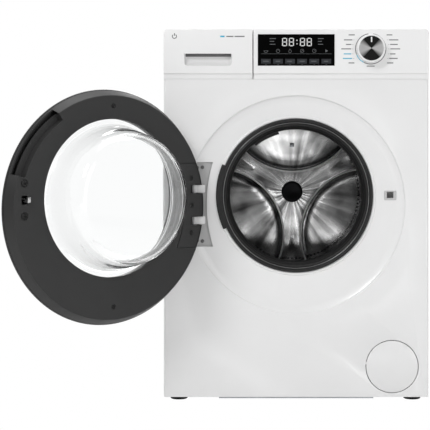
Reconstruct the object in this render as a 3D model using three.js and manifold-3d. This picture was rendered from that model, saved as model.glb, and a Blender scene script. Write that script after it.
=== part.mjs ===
// A front loading washing machine, in millimetres, +Z up and +Y towards the back.
// The cabinet's own frame has x = 0 on its centre plane, y = 0 on its front face and z = 0 on the floor.
// At the end the assembly is moved so that its origin is the middle of its base, with its door open.
import * as THREE from "three";
import { mergeVertices } from "three/addons/utils/BufferGeometryUtils.js";
import Module from "manifold-3d";

const wasm = await Module();
wasm.setup();

// ---- driving dimensions ----
const GAP = 0.3; // between pieces that touch
const RUN = 0.6; // around pieces that turn or slide
const ROUND = 32; // sides of a large circle
const SMALL = 12; // sides of a small circle

const cabinet = {
  width: 600, height: 845, depth: 540, sheet: 1.5, clearance: 12, top: 20, edge: 6, flange: 18,
};
const halfWidth = cabinet.width / 2;
const innerHalf = halfWidth - cabinet.sheet;
const backFace = cabinet.depth;
const topUnderside = cabinet.height - cabinet.top;

const fascia = { height: 113, proud: 4, wall: 3, depth: 22, step: 12, corner: 9, seamX: -97.8, seam: 2 };
const fasciaBottom = cabinet.height - fascia.height;

const axisZ = 468; // drum, seal and lock height
const door = {
  z: 448, rimR: 252.5, faceR: 239.5, holeR: 168.5, inner: 2, thick: 35, wall: 3.5, chamfer: 8.5, side: 13,
  openDeg: 141, hingeX: -229, hingeY: -18,
};
const doorFront = door.inner - door.thick;
const dish = { R: 246, floorR: 231, depth: 9, lipDepth: 13, mouthR: 174.5, lipR: 181 };
const hinge = {
  armZ: 35.5, armHigh: 17, armHalf: 5, armDeg: 52, knuckleR: 6.5, pinR: 3, plateY: 16, half: 96,
  pinHalf: 62, strap: 48, legFrom: 12, legTo: 22,
};
const pocket = { ringInset: 1.5, arcR: 330, middle: -203, overlap: 8 };
const cover = { ringInset: 3, arcR: 220, middle: -187, shorter: 3, thick: 1.6 };
const grip = { from: 17, to: 56, innerR: 222 }; // degrees round the door from the latch side
const lock = { x: 214, wide: 28, high: 21.5, slotWide: 15, slotHigh: 12, front: 10, bodyY: 16 };
const hook = { pivotY: -8, pinR: 2, half: 3, reach: 20 };
const bowl = { flangeR: 177, flangeIn: -6, flangeOut: -2, neckR: 150, endR: 138, depth: 88, wall: 4 };

const drum = { R: 245, sheet: 1.5, front: 72, back: 354, mouthR: 160, lifterHigh: 58, lifterHalf: 26 };
const tub = {
  wall: 3.5, gap: 10, front: 58, split: 220, back: 398, neckR: 172.5, flange: 7, bossR: 48, bossEnd: 440,
};
const tubIn = drum.R + tub.gap;
const tubOut = tubIn + tub.wall;
const shaft = { frontR: 15, rearR: 12.5, end: 470 };
const bearings = { frontR: 31, frontY: 400, rearR: 26, rearY: 424, width: 15, sides: 24 };
const pulley = { R: 145, y: 450, width: 14 };
const motor = { x: 60, z: 125, R: 70, y: 300, length: 138, pulleyR: 12, shaftR: 8 };
const belt = { thick: 3.5, width: 11 };

const bounce = 8; // travel of the hanging tub, up and down
const damper = { x: 150, y: 250, R: 16, boreR: 8, rodR: 6, top: 165, rodTop: 246 };
const spring = { x: drum.R - 4, y: 346, coilR: 11, wireR: 2, turns: 6, top: cabinet.height - 39, seat: axisZ + 190 };
const foot = { x: halfWidth - 32, yFront: 52, yBack: 492, padR: 19.5, padHigh: 10.5, stemR: 5, stemTop: 40 };
const base = { top: 44, rail: 25, corner: 58, tongueHalf: 175, tongueDrop: 3.5 };

const drawer = { wall: 3, tub: 170, x: -200, bottom: cabinet.height - 101, high: 68, length: 290, gap: 2.5 };
const pull = {
  from: -253, to: -146, bottom: cabinet.height - 82, top: cabinet.height - 55.5, deep: 19, lip: 5, pocket: 8,
};
const drawerFrontEnd = fascia.seamX - fascia.seam / 2;
const windowSize = { wide: 173.5, high: 70.8, z: cabinet.height - 47.5, thick: 2.5 };
const knob = { x: 168.4, z: cabinet.height - 45, R: 32, faceR: 27.7, height: 22, shaftR: 3 };
const filter = { x: 217.3, z: 80.6, R: 58.6, gap: 1.4, thick: 2.5, boreR: 27, wall: 4, pump: 26 };
const service = { R: 158, overlap: 14, bulge: 10 };
const inlet = { x: -232, z: cabinet.height - 70, R: 13 };
const outlet = { x: 232, z: cabinet.height - 75, R: 11 };
const gland = { x: 232, z: cabinet.height - 145, R: 9 };
// the way from the dispenser down to the tub
const drop = {
  x: -160, y: 308, R: 14, wall: 2, housingEnd: cabinet.height - 133, hoseEnd: cabinet.height - 153,
};
const lugBottom = 196; // where the motor's ears meet the tub's lugs
const FAR = 20; // how far a cutting tool stands clear of a thin wall

// ---- solids and joins ----
function solid(geometry) {
  const g = geometry.clone();
  g.deleteAttribute("normal");
  g.deleteAttribute("uv");
  const m = mergeVertices(g, 1e-3);
  const mesh = new wasm.Mesh({
    numProp: 3,
    vertProperties: new Float32Array(m.attributes.position.array),
    triVerts: new Uint32Array(m.index.array),
  });
  return new wasm.Manifold(mesh);
}

function geometryOf(manifold) {
  const m = manifold.getMesh();
  const g = new THREE.BufferGeometry();
  g.setAttribute("position", new THREE.BufferAttribute(new Float32Array(m.vertProperties), 3));
  g.setIndex(new THREE.BufferAttribute(new Uint32Array(m.triVerts), 1));
  return g;
}

const join = (first, ...others) => others.reduce((made, o) => made.add(o), first);
const cut = (first, ...others) => others.reduce((made, o) => made.subtract(o), first);

function box(x0, x1, y0, y1, z0, z1) {
  const g = new THREE.BoxGeometry(x1 - x0, y1 - y0, z1 - z0);
  return solid(g.translate((x0 + x1) / 2, (y0 + y1) / 2, (z0 + z1) / 2));
}

// A solid of revolution about an axis along Y through (x, z). The profile is a list of [radius, y].
function turned(profile, x, z, sides = ROUND) {
  const points = profile.map(([r, y]) => new THREE.Vector2(r, y));
  const closed = profile[0][0] > 0;
  if (closed) points.push(points[0].clone());
  const g = new THREE.LatheGeometry(points, sides).translate(x, 0, z);
  const made = solid(g);
  return made.volume() > 0 ? made : solid(flipped(g));
}

function flipped(geometry) {
  const g = geometry.index ? geometry.toNonIndexed() : geometry.clone();
  const p = g.attributes.position.array;
  for (let i = 0; i < p.length; i += 9) {
    for (let k = 0; k < 3; k++) [p[i + 3 + k], p[i + 6 + k]] = [p[i + 6 + k], p[i + 3 + k]];
  }
  return g;
}

// A disc or shaft along Y.
const rod = (r, x, z, y0, y1, sides = SMALL) => turned([[0, y0], [r, y0], [r, y1], [0, y1]], x, z, sides);

// A shaft along Z.
function post(r, x, y, z0, z1, sides = SMALL) {
  const g = new THREE.CylinderGeometry(r, r, z1 - z0, sides).rotateX(Math.PI / 2);
  return solid(g.translate(x, y, (z0 + z1) / 2));
}

// A solid of revolution about an upright axis through (x, y). The profile is a list of [radius, height].
function turnedUp(profile, x, y, sides = SMALL) {
  const points = profile.map(([r, h]) => new THREE.Vector2(r, h));
  if (profile[0][0] > 0) points.push(points[0].clone());
  const g = new THREE.LatheGeometry(points, sides).rotateX(Math.PI / 2).translate(x, y, 0);
  const made = solid(g);
  return made.volume() > 0 ? made : solid(flipped(g));
}

// An outline in x and z, made solid between two depths.
function plate(shape, y0, y1, curveSegments = 8) {
  const g = new THREE.ExtrudeGeometry(shape, { depth: y1 - y0, bevelEnabled: false, curveSegments });
  return solid(g.rotateX(Math.PI / 2).translate(0, y1, 0));
}

// An outline in x and y, made solid between two heights.
function slab(shape, z0, z1, curveSegments = 8) {
  const g = new THREE.ExtrudeGeometry(shape, { depth: z1 - z0, bevelEnabled: false, curveSegments });
  return solid(g.translate(0, 0, z0));
}

// An outline in y and z, made solid between two x values.
function beam(points, x0, x1) {
  const shape = new THREE.Shape(points.map(([y, z]) => new THREE.Vector2(y, z)));
  const g = new THREE.ExtrudeGeometry(shape, { depth: x1 - x0, bevelEnabled: false });
  const turn = new THREE.Matrix4().makeBasis(
    new THREE.Vector3(0, 1, 0), new THREE.Vector3(0, 0, 1), new THREE.Vector3(1, 0, 0));
  return solid(g.applyMatrix4(turn).translate(x0, 0, 0));
}

const polygon = (points) => new THREE.Shape(points.map(([a, b]) => new THREE.Vector2(a, b)));

// A ring whose profile points each have their own centre height: [radius, y, centreZ].
function eccentricRing(profile, sides = ROUND) {
  const positions = [];
  const at = (i, j) => {
    const [r, y, z] = profile[i % profile.length];
    const a = (2 * Math.PI * (j % sides)) / sides;
    return [r * Math.cos(a), y, z + r * Math.sin(a)];
  };
  for (let i = 0; i < profile.length; i++) {
    for (let j = 0; j < sides; j++) {
      const quad = [at(i, j), at(i + 1, j), at(i + 1, j + 1), at(i, j + 1)];
      positions.push(...quad[0], ...quad[1], ...quad[2], ...quad[0], ...quad[2], ...quad[3]);
    }
  }
  const g = new THREE.BufferGeometry();
  g.setAttribute("position", new THREE.BufferAttribute(new Float32Array(positions), 3));
  const made = solid(g);
  return made.volume() > 0 ? made : solid(flipped(g));
}

// A wedge of a thick disc about (x, z), between two angles in degrees from +X towards +Z.
function sector(r0, r1, from, to, y0, y1, x, z) {
  const shape = new THREE.Shape();
  const a = THREE.MathUtils.degToRad(from);
  const b = THREE.MathUtils.degToRad(to);
  shape.absarc(x, z, r1, a, b, false);
  shape.absarc(x, z, r0, b, a, true);
  return plate(shape, y0, y1, 12);
}

// A solid bar along a curve, with a round section.
function tube(curve, r, steps, sides = 8) {
  const section = new THREE.Shape();
  for (let i = 0; i < sides; i++) {
    const a = (2 * Math.PI * i) / sides;
    if (i) section.lineTo(r * Math.cos(a), r * Math.sin(a));
    else section.moveTo(r, 0);
  }
  return solid(new THREE.ExtrudeGeometry(section, { steps, extrudePath: curve, bevelEnabled: false }));
}

const through = (points) => new THREE.CatmullRomCurve3(points.map((p) => new THREE.Vector3(...p)));

// ---- materials ----
const finish = (color, roughness, metalness) => new THREE.MeshStandardMaterial({ color, roughness,
    metalness });
const materials = {
  paint: finish(0xf0f0ef, 0.35, 0.1),
  whitePlastic: finish(0xededed, 0.4, 0),
  blackPlastic: finish(0x343434, 0.5, 0),
  blackGlass: finish(0x08080a, 0.1, 0),
  glass: finish(0xffffff, 0.03, 0),
  rubber: finish(0x3a3a3a, 0.7, 0),
  stainless: finish(0xb4b6b8, 0.25, 1),
  zinc: finish(0xc4c6c8, 0.4, 0.9),
  aluminium: finish(0xa4a7aa, 0.45, 0.9),
  greyPlastic: finish(0x9a9c9e, 0.6, 0),
  concrete: finish(0x8d8b86, 0.95, 0),
  board: finish(0x2f6b45, 0.6, 0),
};

const machine = new THREE.Group();
function add(name, manifold, material, parent = machine) {
  const mesh = new THREE.Mesh(geometryOf(manifold), materials[material]);
  mesh.name = name;
  parent.add(mesh);
}

// ---- cabinet ----
function sidePanel(side) {
  const outer = side * halfWidth;
  const inner = side * innerHalf;
  const tabEnd = side * (spring.x - 10);
  const [x0, x1] = [Math.min(outer, inner), Math.max(outer, inner)];
  const skin = box(x0, x1, cabinet.flange + GAP, backFace, cabinet.clearance, topUnderside - GAP);
  const [t0, t1] = [Math.min(inner - side * 0.5, tabEnd), Math.max(inner - side * 0.5, tabEnd)];
  const hanger = box(t0 - 1 * (side < 0), t1 + 1 * (side > 0), spring.y - 9, spring.y + 9,
    spring.top, spring.top + 3);
  return join(skin, hanger);
}

function baseFrame() {
  const out = innerHalf - GAP;
  const front = cabinet.flange + RUN * 2;
  const back = backFace - cabinet.sheet - GAP * 2;
  const ring = cut(
    box(-out, out, front, back, cabinet.clearance, base.top),
    box(-out + base.rail, out - base.rail, front + base.rail, back - base.rail, 0, base.top + 1));
  const corner = (x, y) => {
    const inward = x - Math.sign(x) * base.corner;
    return box(Math.min(x, inward), Math.max(x, inward), y, y + base.corner, cabinet.clearance, base.top);
  };
  const corners = [-out, out].flatMap((x) => [corner(x, front), corner(x, back - base.corner)]);
  const crossRail = box(-out, out, damper.y - 18, damper.y + 18, cabinet.clearance, base.top);
  const tongue = box(-base.tongueHalf, base.tongueHalf, 4, front + 12,
      cabinet.clearance - base.tongueDrop,
    cabinet.clearance - GAP);
  const tongueRoot = box(-base.tongueHalf, base.tongueHalf, front, front + 12, cabinet.clearance - 1,
    cabinet.clearance + 5);
  const holes = footPlaces().map(([x, y]) => post(foot.stemR + RUN, x, y, 0, base.top + 1));
  return cut(join(ring, ...corners, crossRail, tongue, tongueRoot), ...holes);
}

function footPlaces() {
  return [[-foot.x, foot.yFront], [foot.x, foot.yFront], [-foot.x, foot.yBack], [foot.x, foot.yBack]];
}

function levellingFoot(x, y) {
  const { padR, padHigh, stemR, stemTop } = foot;
  return turnedUp([[0, 0], [padR, 0], [padR, padHigh - 3], [padR - 6, padHigh], [stemR, padHigh],
    [stemR, stemTop], [0, stemTop]], x, y);
}

function topPanel() {
  const front = fascia.depth - fascia.proud + GAP;
  return box(-halfWidth, halfWidth, front, backFace, topUnderside, cabinet.height);
}

function rearPanel() {
  const skin = box(-innerHalf + GAP, innerHalf - GAP, backFace - cabinet.sheet, backFace,
      cabinet.clearance,
    topUnderside - GAP);
  const hole = rod(service.R, 0, axisZ, backFace - FAR, backFace + FAR, ROUND);
  const inletHole = rod(inlet.R + 1.5, inlet.x, inlet.z, backFace - FAR, backFace + FAR);
  const outletHole = rod(outlet.R + 1, outlet.x, outlet.z, backFace - FAR, backFace + FAR);
  const glandHole = rod(gland.R + 1, gland.x, gland.z, backFace - FAR, backFace + FAR);
  return cut(skin, hole, inletHole, outletHole, glandHole);
}

function serviceCover() {
  const r = service.R + service.overlap;
  const y = backFace + GAP;
  const s = cabinet.sheet;
  return turned([[0, y + service.bulge - s], [service.R - 8, y + service.bulge - s], [service.R, y],
      [r, y],
    [r, y + s], [service.R + 1, y + s], [service.R - 7, y + service.bulge], [0, y + service.bulge]], 0,
        axisZ);
}

function dishProfile(grow) {
  const rise = door.z;
  const mix = (t) => rise + (axisZ - rise) * t;
  return [
    [dish.R + 3, 0 + grow, rise], [dish.R, 0 + grow, rise], [dish.floorR, dish.depth + grow, rise],
    [dish.lipR + 6, dish.lipDepth - 1 + grow, mix(0.9)], [dish.lipR, dish.lipDepth + grow, mix(1)],
    [dish.mouthR + 3, dish.lipDepth - 4 + grow, mix(1)],
  ];
}

// The crescent between the circle ringR about the door's centre and an arc whose middle is at x = middle.
function crescent(ringR, half, arcR, middle) {
  const arcX = middle + arcR;
  const top = Math.sqrt(arcR ** 2 - half ** 2);
  const shape = new THREE.Shape();
  shape.moveTo(-Math.sqrt(ringR ** 2 - half ** 2), door.z + half);
  shape.absarc(0, door.z, ringR, Math.PI - Math.asin(half / ringR), Math.PI + Math.asin(half / ringR),
      false);
  shape.lineTo(arcX - top, door.z - half);
  shape.absarc(arcX, door.z, arcR, Math.PI + Math.asin(half / arcR), Math.PI - Math.asin(half / arcR),
      true);
  shape.closePath();
  return shape;
}

function pocketShape(grow) {
  return crescent(dish.R - pocket.ringInset + grow, hinge.half + grow, pocket.arcR, pocket.middle + grow);
}

function coverShape(grow) {
  return crescent(door.faceR - cover.ringInset + grow, hinge.half - cover.shorter + grow, cover.arcR,
    cover.middle + grow);
}

function frontPanel() {
  const e = cabinet.edge;
  const t = cabinet.sheet;
  const channel = new THREE.Shape();
  channel.moveTo(-halfWidth, cabinet.flange);
  channel.lineTo(-halfWidth, e);
  channel.absarc(-halfWidth + e, e, e, Math.PI, 1.5 * Math.PI, false);
  channel.lineTo(halfWidth - e, 0);
  channel.absarc(halfWidth - e, e, e, 1.5 * Math.PI, 2 * Math.PI, false);
  channel.lineTo(halfWidth, cabinet.flange);
  channel.lineTo(halfWidth - t, cabinet.flange);
  channel.lineTo(halfWidth - t, e);
  channel.absarc(halfWidth - e, e, e - t, 0, -0.5 * Math.PI, true);
  channel.lineTo(-halfWidth + e, t);
  channel.absarc(-halfWidth + e, e, e - t, 1.5 * Math.PI, Math.PI, true);
  channel.lineTo(-halfWidth + t, cabinet.flange);
  channel.closePath();
  const skin = slab(channel, cabinet.clearance, fasciaBottom - GAP, 3);
  const well = rod(dish.R + 1.5, 0, door.z, -5, 5, ROUND);
  const lipEnd = [[dish.mouthR, dish.lipDepth - 4], [dish.mouthR, dish.lipDepth + 10],
    [dish.mouthR + t, dish.lipDepth + 10], [dish.mouthR + t, dish.lipDepth]].map(([r, y]) => [r, y,
        axisZ]);
  const back = dishProfile(t).slice(0, -1).reverse();
  const bowlShell = eccentricRing([...dishProfile(0), ...lipEnd, ...back]);
  const filterHole = rod(filter.R + filter.gap, filter.x, filter.z, -5, 5, 40);
  const hingePocket = plate(pocketShape(0), -1, dish.lipDepth + 4, 8);
  const lockHole = box(lock.x - lock.wide / 2, lock.x + lock.wide / 2, -1, dish.lipDepth + 5,
    axisZ - lock.high / 2, axisZ + lock.high / 2);
  return cut(join(cut(skin, well), bowlShell), filterHole, hingePocket, lockHole);
}

function fasciaOutline(x0, x1, inset, roundLeft, roundRight) {
  const r = Math.max(fascia.corner - inset, 1);
  const top = cabinet.height - inset;
  const bottom = fasciaBottom + inset;
  const shape = new THREE.Shape();
  shape.moveTo(x0 + inset, bottom);
  shape.lineTo(x1 - inset, bottom);
  if (roundRight) {
    shape.lineTo(x1 - inset, top - r);
    shape.absarc(x1 - inset - r, top - r, r, 0, Math.PI / 2, false);
  } else shape.lineTo(x1 - inset, top);
  if (roundLeft) {
    shape.lineTo(x0 + inset + r, top);
    shape.absarc(x0 + inset + r, top - r, r, Math.PI / 2, Math.PI, false);
  } else shape.lineTo(x0 + inset, top);
  shape.closePath();
  return shape;
}

// A moulded front, open at the back, with its step along the bottom edge.
function mouldedFront(x0, x1, roundLeft, roundRight) {
  const y0 = -fascia.proud;
  const y1 = y0 + fascia.depth;
  const stepZ = fasciaBottom + fascia.step;
  const block = plate(fasciaOutline(x0, x1, 0, roundLeft, roundRight), y0, y1);
  const hollow = plate(fasciaOutline(x0, x1, fascia.wall, roundLeft, roundRight), y0 + fascia.wall,
      y1 + 1);
  const strip = box(x0 - 1, x1 + 1, y0 - 1, 0, fasciaBottom - 1, stepZ);
  const fill = box(x0 + 1, x1 - 1, 0.5, fascia.wall, fasciaBottom + 1, stepZ + fascia.wall);
  return cut(join(cut(block, hollow), fill), strip);
}

function controlFascia() {
  const w = windowSize;
  const hole = box(-w.wide / 2 - GAP, w.wide / 2 + GAP, -FAR, FAR, w.z - w.high / 2 - GAP,
    w.z + w.high / 2 + GAP);
  const knobHole = rod(knob.shaftR + 5, knob.x, knob.z, -FAR, FAR);
  return cut(mouldedFront(fascia.seamX + fascia.seam / 2, halfWidth, false, true), hole, knobHole);
}

function displayWindow() {
  const w = windowSize;
  const y = -fascia.proud;
  return box(-w.wide / 2, w.wide / 2, y, y + w.thick, w.z - w.high / 2, w.z + w.high / 2);
}

function displayBoard() {
  return cut(box(-84, 205, 6, 8, windowSize.z - 32.5, windowSize.z + 34.5), rod(knob.shaftR + RUN, knob.x, knob.z, 0, 20));
}

function frontCrossbar() {
  const z = fasciaBottom - 18;
  const y0 = cabinet.flange + RUN * 2;
  const half = innerHalf - GAP;
  return join(box(-half, half, y0, y0 + 2, z - 24, z), box(-half, half, y0, y0 + 26, z - 2, z));
}

// ---- detergent drawer ----
function drawerFront() {
  const front = mouldedFront(-halfWidth, drawerFrontEnd, true, false);
  const y0 = -fascia.proud;
  const boss = box(pull.from - 4, pull.to + 4, y0 + 1, y0 + fascia.depth, pull.bottom - 4,
      pull.top + pull.pocket + 3);
  const scoop = beam([[y0 - 1, pull.bottom], [y0 + 1, pull.bottom], [y0 + 12, pull.bottom + 7],
    [y0 + pull.deep, pull.bottom + 17], [y0 + pull.deep, pull.top + pull.pocket], [y0 + pull.lip,
      pull.top + pull.pocket], [y0 + pull.lip, pull.top], [y0 - 1, pull.top]], pull.from, pull.to);
  return cut(join(front, boss), scoop);
}

function drawerTray() {
  const y0 = fascia.depth - fascia.proud + GAP;
  const x0 = drawer.x - drawer.tub / 2;
  const x1 = drawer.x + drawer.tub / 2;
  const w = drawer.wall;
  const top = drawer.bottom + drawer.high;
  const shell = box(x0, x1, y0, y0 + drawer.length, drawer.bottom, top);
  const middle = drawer.x + 8;
  const wash = box(x0 + w, middle, y0 + w, y0 + drawer.length - w, drawer.bottom + w, top + 1);
  const prewash = box(middle + w, x1 - w, y0 + w, y0 + drawer.length * 0.55, drawer.bottom + w, top + 1);
  const softener = box(middle + w, x1 - w, y0 + drawer.length * 0.55 + w, y0 + drawer.length - w,
    drawer.bottom + w, top + 1);
  return cut(shell, wash, prewash, softener);
}

function dispenserHousing() {
  const y0 = fascia.depth - fascia.proud + GAP * 2 + 2;
  const y1 = y0 + drawer.length + 12;
  const g = drawer.gap;
  const w = drawer.wall;
  const [x0, x1] = [drawer.x - drawer.tub / 2 - g, drawer.x + drawer.tub / 2 + g];
  const [z0, z1] = [drawer.bottom - g, drawer.bottom + drawer.high + g];
  const shell = box(x0 - w, x1 + w, y0, y1 + w, z0 - w, z1 + w);
  const room = box(x0, x1, y0 - 1, y1, z0, z1);
  const spout = post(drop.R, drop.x, drop.y, drop.housingEnd, z0);
  const drain = post(drop.R - drop.wall, drop.x, drop.y, drop.housingEnd - 1, z0 + 1);
  return cut(join(shell, spout), room, drain);
}

function inletValve() {
  const y = backFace - 60;
  const body = box(inlet.x - 24, inlet.x + 24, y, backFace - cabinet.sheet - 6, inlet.z - 20,
      inlet.z + 20);
  const spigot = rod(inlet.R, inlet.x, inlet.z, backFace - 12, backFace + 16);
  const bore = rod(inlet.R - 4, inlet.x, inlet.z, backFace - 4, backFace + 17);
  return cut(join(body, spigot), bore);
}

function dispenserHose() {
  const { x, y, R, wall, housingEnd, hoseEnd } = drop;
  return turnedUp([[R - wall, hoseEnd + GAP], [R + 2, hoseEnd + GAP], [R + 3, (housingEnd + hoseEnd) / 2],
    [R + 2, housingEnd - GAP], [R - wall, housingEnd - GAP]], x, y);
}

// ---- door, drawn closed ----
const doorGroup = new THREE.Group();
doorGroup.position.set(door.hingeX, door.hingeY, 0);
doorGroup.rotation.z = -THREE.MathUtils.degToRad(door.openDeg);
machine.add(doorGroup);
const doorParts = new THREE.Group();
doorParts.position.set(-door.hingeX, -door.hingeY, 0);
doorGroup.add(doorParts);

// The slots that leave the two hinge arms room from closed to fully open.
function armSlots() {
  const [hx, hy] = [door.hingeX, door.hingeY];
  const outline = polygon([[hx - 40, hy - 14.5], [hx, hy - 8.7], [hx + 12, hy - 5.5], [hx + 24, hy + 12],
    [hx + 24, hy + 40], [hx - 40, hy + 40]]);
  const half = hinge.armHigh / 2 + 1;
  return [-1, 1].map((s) => slab(outline, door.z + s * hinge.armZ - half,
      door.z + s * hinge.armZ + half));
}

function doorCover() {
  const f = doorFront;
  const w = door.wall;
  const sleeveOut = door.holeR + 3;
  const rimBack = f + door.side;
  const profile = [
    [door.holeR, f], [door.rimR - door.chamfer, f], [door.rimR, f + door.chamfer],
    [door.rimR - 1.5, rimBack], [door.rimR - 1.5 - w, rimBack], [door.rimR - w, f + door.chamfer + 1.5],
    [door.rimR - door.chamfer - 1.5, f + w], [sleeveOut, f + w], [sleeveOut, bowl.flangeIn - GAP],
    [door.holeR, bowl.flangeIn - GAP],
  ];
  const lip = sector(door.rimR - 26, door.rimR - 12, grip.from + 2, grip.to - 2, f + w - 0.5,
      f + w + 4, 0, door.z);
  return cut(join(eccentricDoorRing(profile), lip), ...armSlots());
}

// The window sits above the rim's centre, so a profile's small radii are centred on the drum's axis.
function eccentricDoorRing(profile) {
  const middle = (door.holeR + door.faceR) / 2;
  return eccentricRing(profile.map(([r, y]) => [r, y, r < middle ? axisZ : door.z]), ROUND);
}

function doorInnerRing() {
  const y = door.inner;
  const w = door.wall;
  const edge = doorFront + door.side + GAP;
  const profile = [
    [door.holeR, y], [door.faceR, y], [door.rimR - 2, edge], [door.rimR - 2 - w, edge],
        [door.faceR - 2, y - w],
    [door.holeR, y - w],
  ];
  const gripCut = sector(grip.innerR, door.rimR + 5, grip.from, grip.to, -60, 20, 0, door.z);
  const gripWall = cut(
    sector(grip.innerR - w, grip.innerR + 0.2, grip.from - 1, grip.to + 1, doorFront + w + GAP,
        y - 0.5, 0, door.z));
  const recess = plate(coverShape(GAP), y - cover.thick - GAP, y + 1, 8);
  const hookHole = box(lock.x - hook.half - 4, lock.x + hook.half + 4, -12, 20, axisZ - 9, axisZ + 9);
  const ear = (side) => box(lock.x + side * 7 - (side < 0 ? 3 : 0),
      lock.x + side * 7 + (side > 0 ? 3 : 0),
    hook.pivotY - 5, y - w + 0.5, axisZ - 5, axisZ + 5);
  const bore = beam(ngon(hook.pinR + 0.1, 12), lock.x - 20, lock.x + 20).translate(0, hook.pivotY, axisZ);
  const ring = join(cut(eccentricDoorRing(profile), gripCut), gripWall, ear(-1), ear(1));
  return cut(ring, recess, hookHole, bore, ...armSlots());
}

function hingeCover() {
  const y = door.inner;
  return cut(plate(coverShape(0), y - cover.thick, y, 8), ...armSlots());
}

function doorGlass() {
  const b = bowl;
  const w = b.wall;
  const y = door.inner;
  return turned([
    [b.flangeR, b.flangeIn], [b.flangeR, b.flangeOut], [b.neckR + 8, b.flangeOut], [b.neckR, y + 25],
    [b.endR, y + b.depth - 16], [b.endR - 10, y + b.depth - 4], [0, y + b.depth],
    [0, y + b.depth - w], [b.endR - 13, y + b.depth - w - 5], [b.endR - w, y + b.depth - 18],
    [b.neckR - w, y + 24], [b.neckR + 8 - w, b.flangeIn],
  ], 0, axisZ);
}

function hingeLeaf() {
  const [hx, hy] = [door.hingeX, door.hingeY];
  const inside = hinge.armZ - hinge.armHigh / 2 - 1.5;
  const outside = hinge.armZ + hinge.armHigh / 2 + 1.5;
  const knuckle = (z0, z1) => post(hinge.knuckleR, hx, hy, door.z + z0, door.z + z1);
  const strap = box(hx + 2, hx + hinge.strap, hy - 5, hy - 2, door.z - hinge.pinHalf,
      door.z + hinge.pinHalf);
  const made = join(strap, knuckle(-inside, inside), knuckle(outside, hinge.pinHalf),
      knuckle(-hinge.pinHalf, -outside));
  const bore = post(hinge.pinR + GAP, hx, hy, door.z - 100, door.z + 100);
  return cut(made, bore, ...armSlots());
}

function latchHook() {
  const y = door.inner;
  const r = hook.reach;
  const outline = [[hook.pivotY, -5], [y + r - 2, -5], [y + r, -2], [y + r, 6], [y + r - 5, 6],
      [y + r - 8, 2],
    [hook.pivotY + 5, 2], [hook.pivotY + 4, 5], [hook.pivotY - 4, 5], [hook.pivotY - 4, -5]];
  const blade = beam(outline, lock.x - hook.half, lock.x + hook.half).translate(0, 0, axisZ);
  const trunnion = beam(ngon(hook.pinR, 12), lock.x - hook.half - 6, lock.x + hook.half + 6);
  return join(blade, trunnion.translate(0, hook.pivotY, axisZ));
}

const ngon = (r, sides) => Array.from({ length: sides }, (_, i) => {
  const a = (2 * Math.PI * i) / sides;
  return [r * Math.cos(a), r * Math.sin(a)];
});

function hingePin() {
  return post(hinge.pinR, door.hingeX, door.hingeY, door.z - hinge.pinHalf, door.z + hinge.pinHalf);
}

// Each arm leaves the pin at a slant and turns straight back to the plate.
function hingeBracket() {
  const a = THREE.MathUtils.degToRad(hinge.armDeg);
  const [hx, hy] = [door.hingeX, door.hingeY];
  const [sx, sy] = [hinge.armHalf * Math.sin(a), hinge.armHalf * Math.cos(a)];
  const { legFrom, legTo, plateY } = hinge;
  const rise = (x, y) => y + (x * Math.sin(a)) / Math.cos(a);
  const arm = polygon([[sx, -sy], [legTo, rise(legTo - sx, -sy)], [legTo, plateY + 1.5 - hy],
    [legFrom, plateY + 1.5 - hy], [legFrom, rise(legFrom + sx, sy)], [-sx, sy]].map(([x,
        y]) => [hx + x, hy + y]));
  const half = hinge.armHigh / 2;
  const arms = [-1, 1].flatMap((s) => [
    slab(arm, door.z + s * hinge.armZ - half, door.z + s * hinge.armZ + half),
    post(hinge.knuckleR, hx, hy, door.z + s * hinge.armZ - half, door.z + s * hinge.armZ + half)]);
  const back = plate(pocketShape(pocket.overlap), plateY, plateY + 3, 8);
  const bore = post(hinge.pinR + GAP, hx, hy, door.z - 100, door.z + 100);
  return cut(join(back, ...arms), bore);
}

function doorLock() {
  const { x, wide, high, slotWide, slotHigh, front, bodyY } = lock;
  const body = box(x - 20, x + 24, bodyY, bodyY + 32, axisZ - 30, axisZ + 34);
  const boss = box(x - wide / 2 + GAP, x + wide / 2 - GAP, front, bodyY + 1, axisZ - high / 2 + GAP,
    axisZ + high / 2 - GAP);
  const slot = box(x - slotWide / 2, x + slotWide / 2, front - 1, bodyY + 24, axisZ - slotHigh / 2,
    axisZ + slotHigh / 2 + 2);
  return cut(join(body, boss), slot);
}

// ---- seal, tub and drum ----
function seal() {
  const m = dish.mouthR;
  const y = dish.lipDepth;
  return turned([
    [m - GAP, y - 3], [m - 10, y], [m - 15, 26], [m - 21, 33], [m - 18, 44], [m - 8, 42],
    [tub.neckR - GAP, 49], [tub.neckR - GAP, 61], [tub.neckR - 5, 61], [m - 18, 52],
    [m - 23.5, 44], [m - 23, 32], [m - 16, y - 2], [m - 11, y - 8], [m - GAP, y - 9.5],
  ], 0, axisZ);
}

function tubFront() {
  const w = tub.wall;
  const n = tub.neckR;
  return turned([[n, 50], [n, tub.front + w], [tubIn, tub.front + w], [tubIn, tub.split],
    [tubOut + tub.flange, tub.split], [tubOut + tub.flange, tub.split - 7], [tubOut, tub.split - 7],
    [tubOut, tub.front], [n + w, tub.front], [n + w, 50]], 0, axisZ);
}

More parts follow.
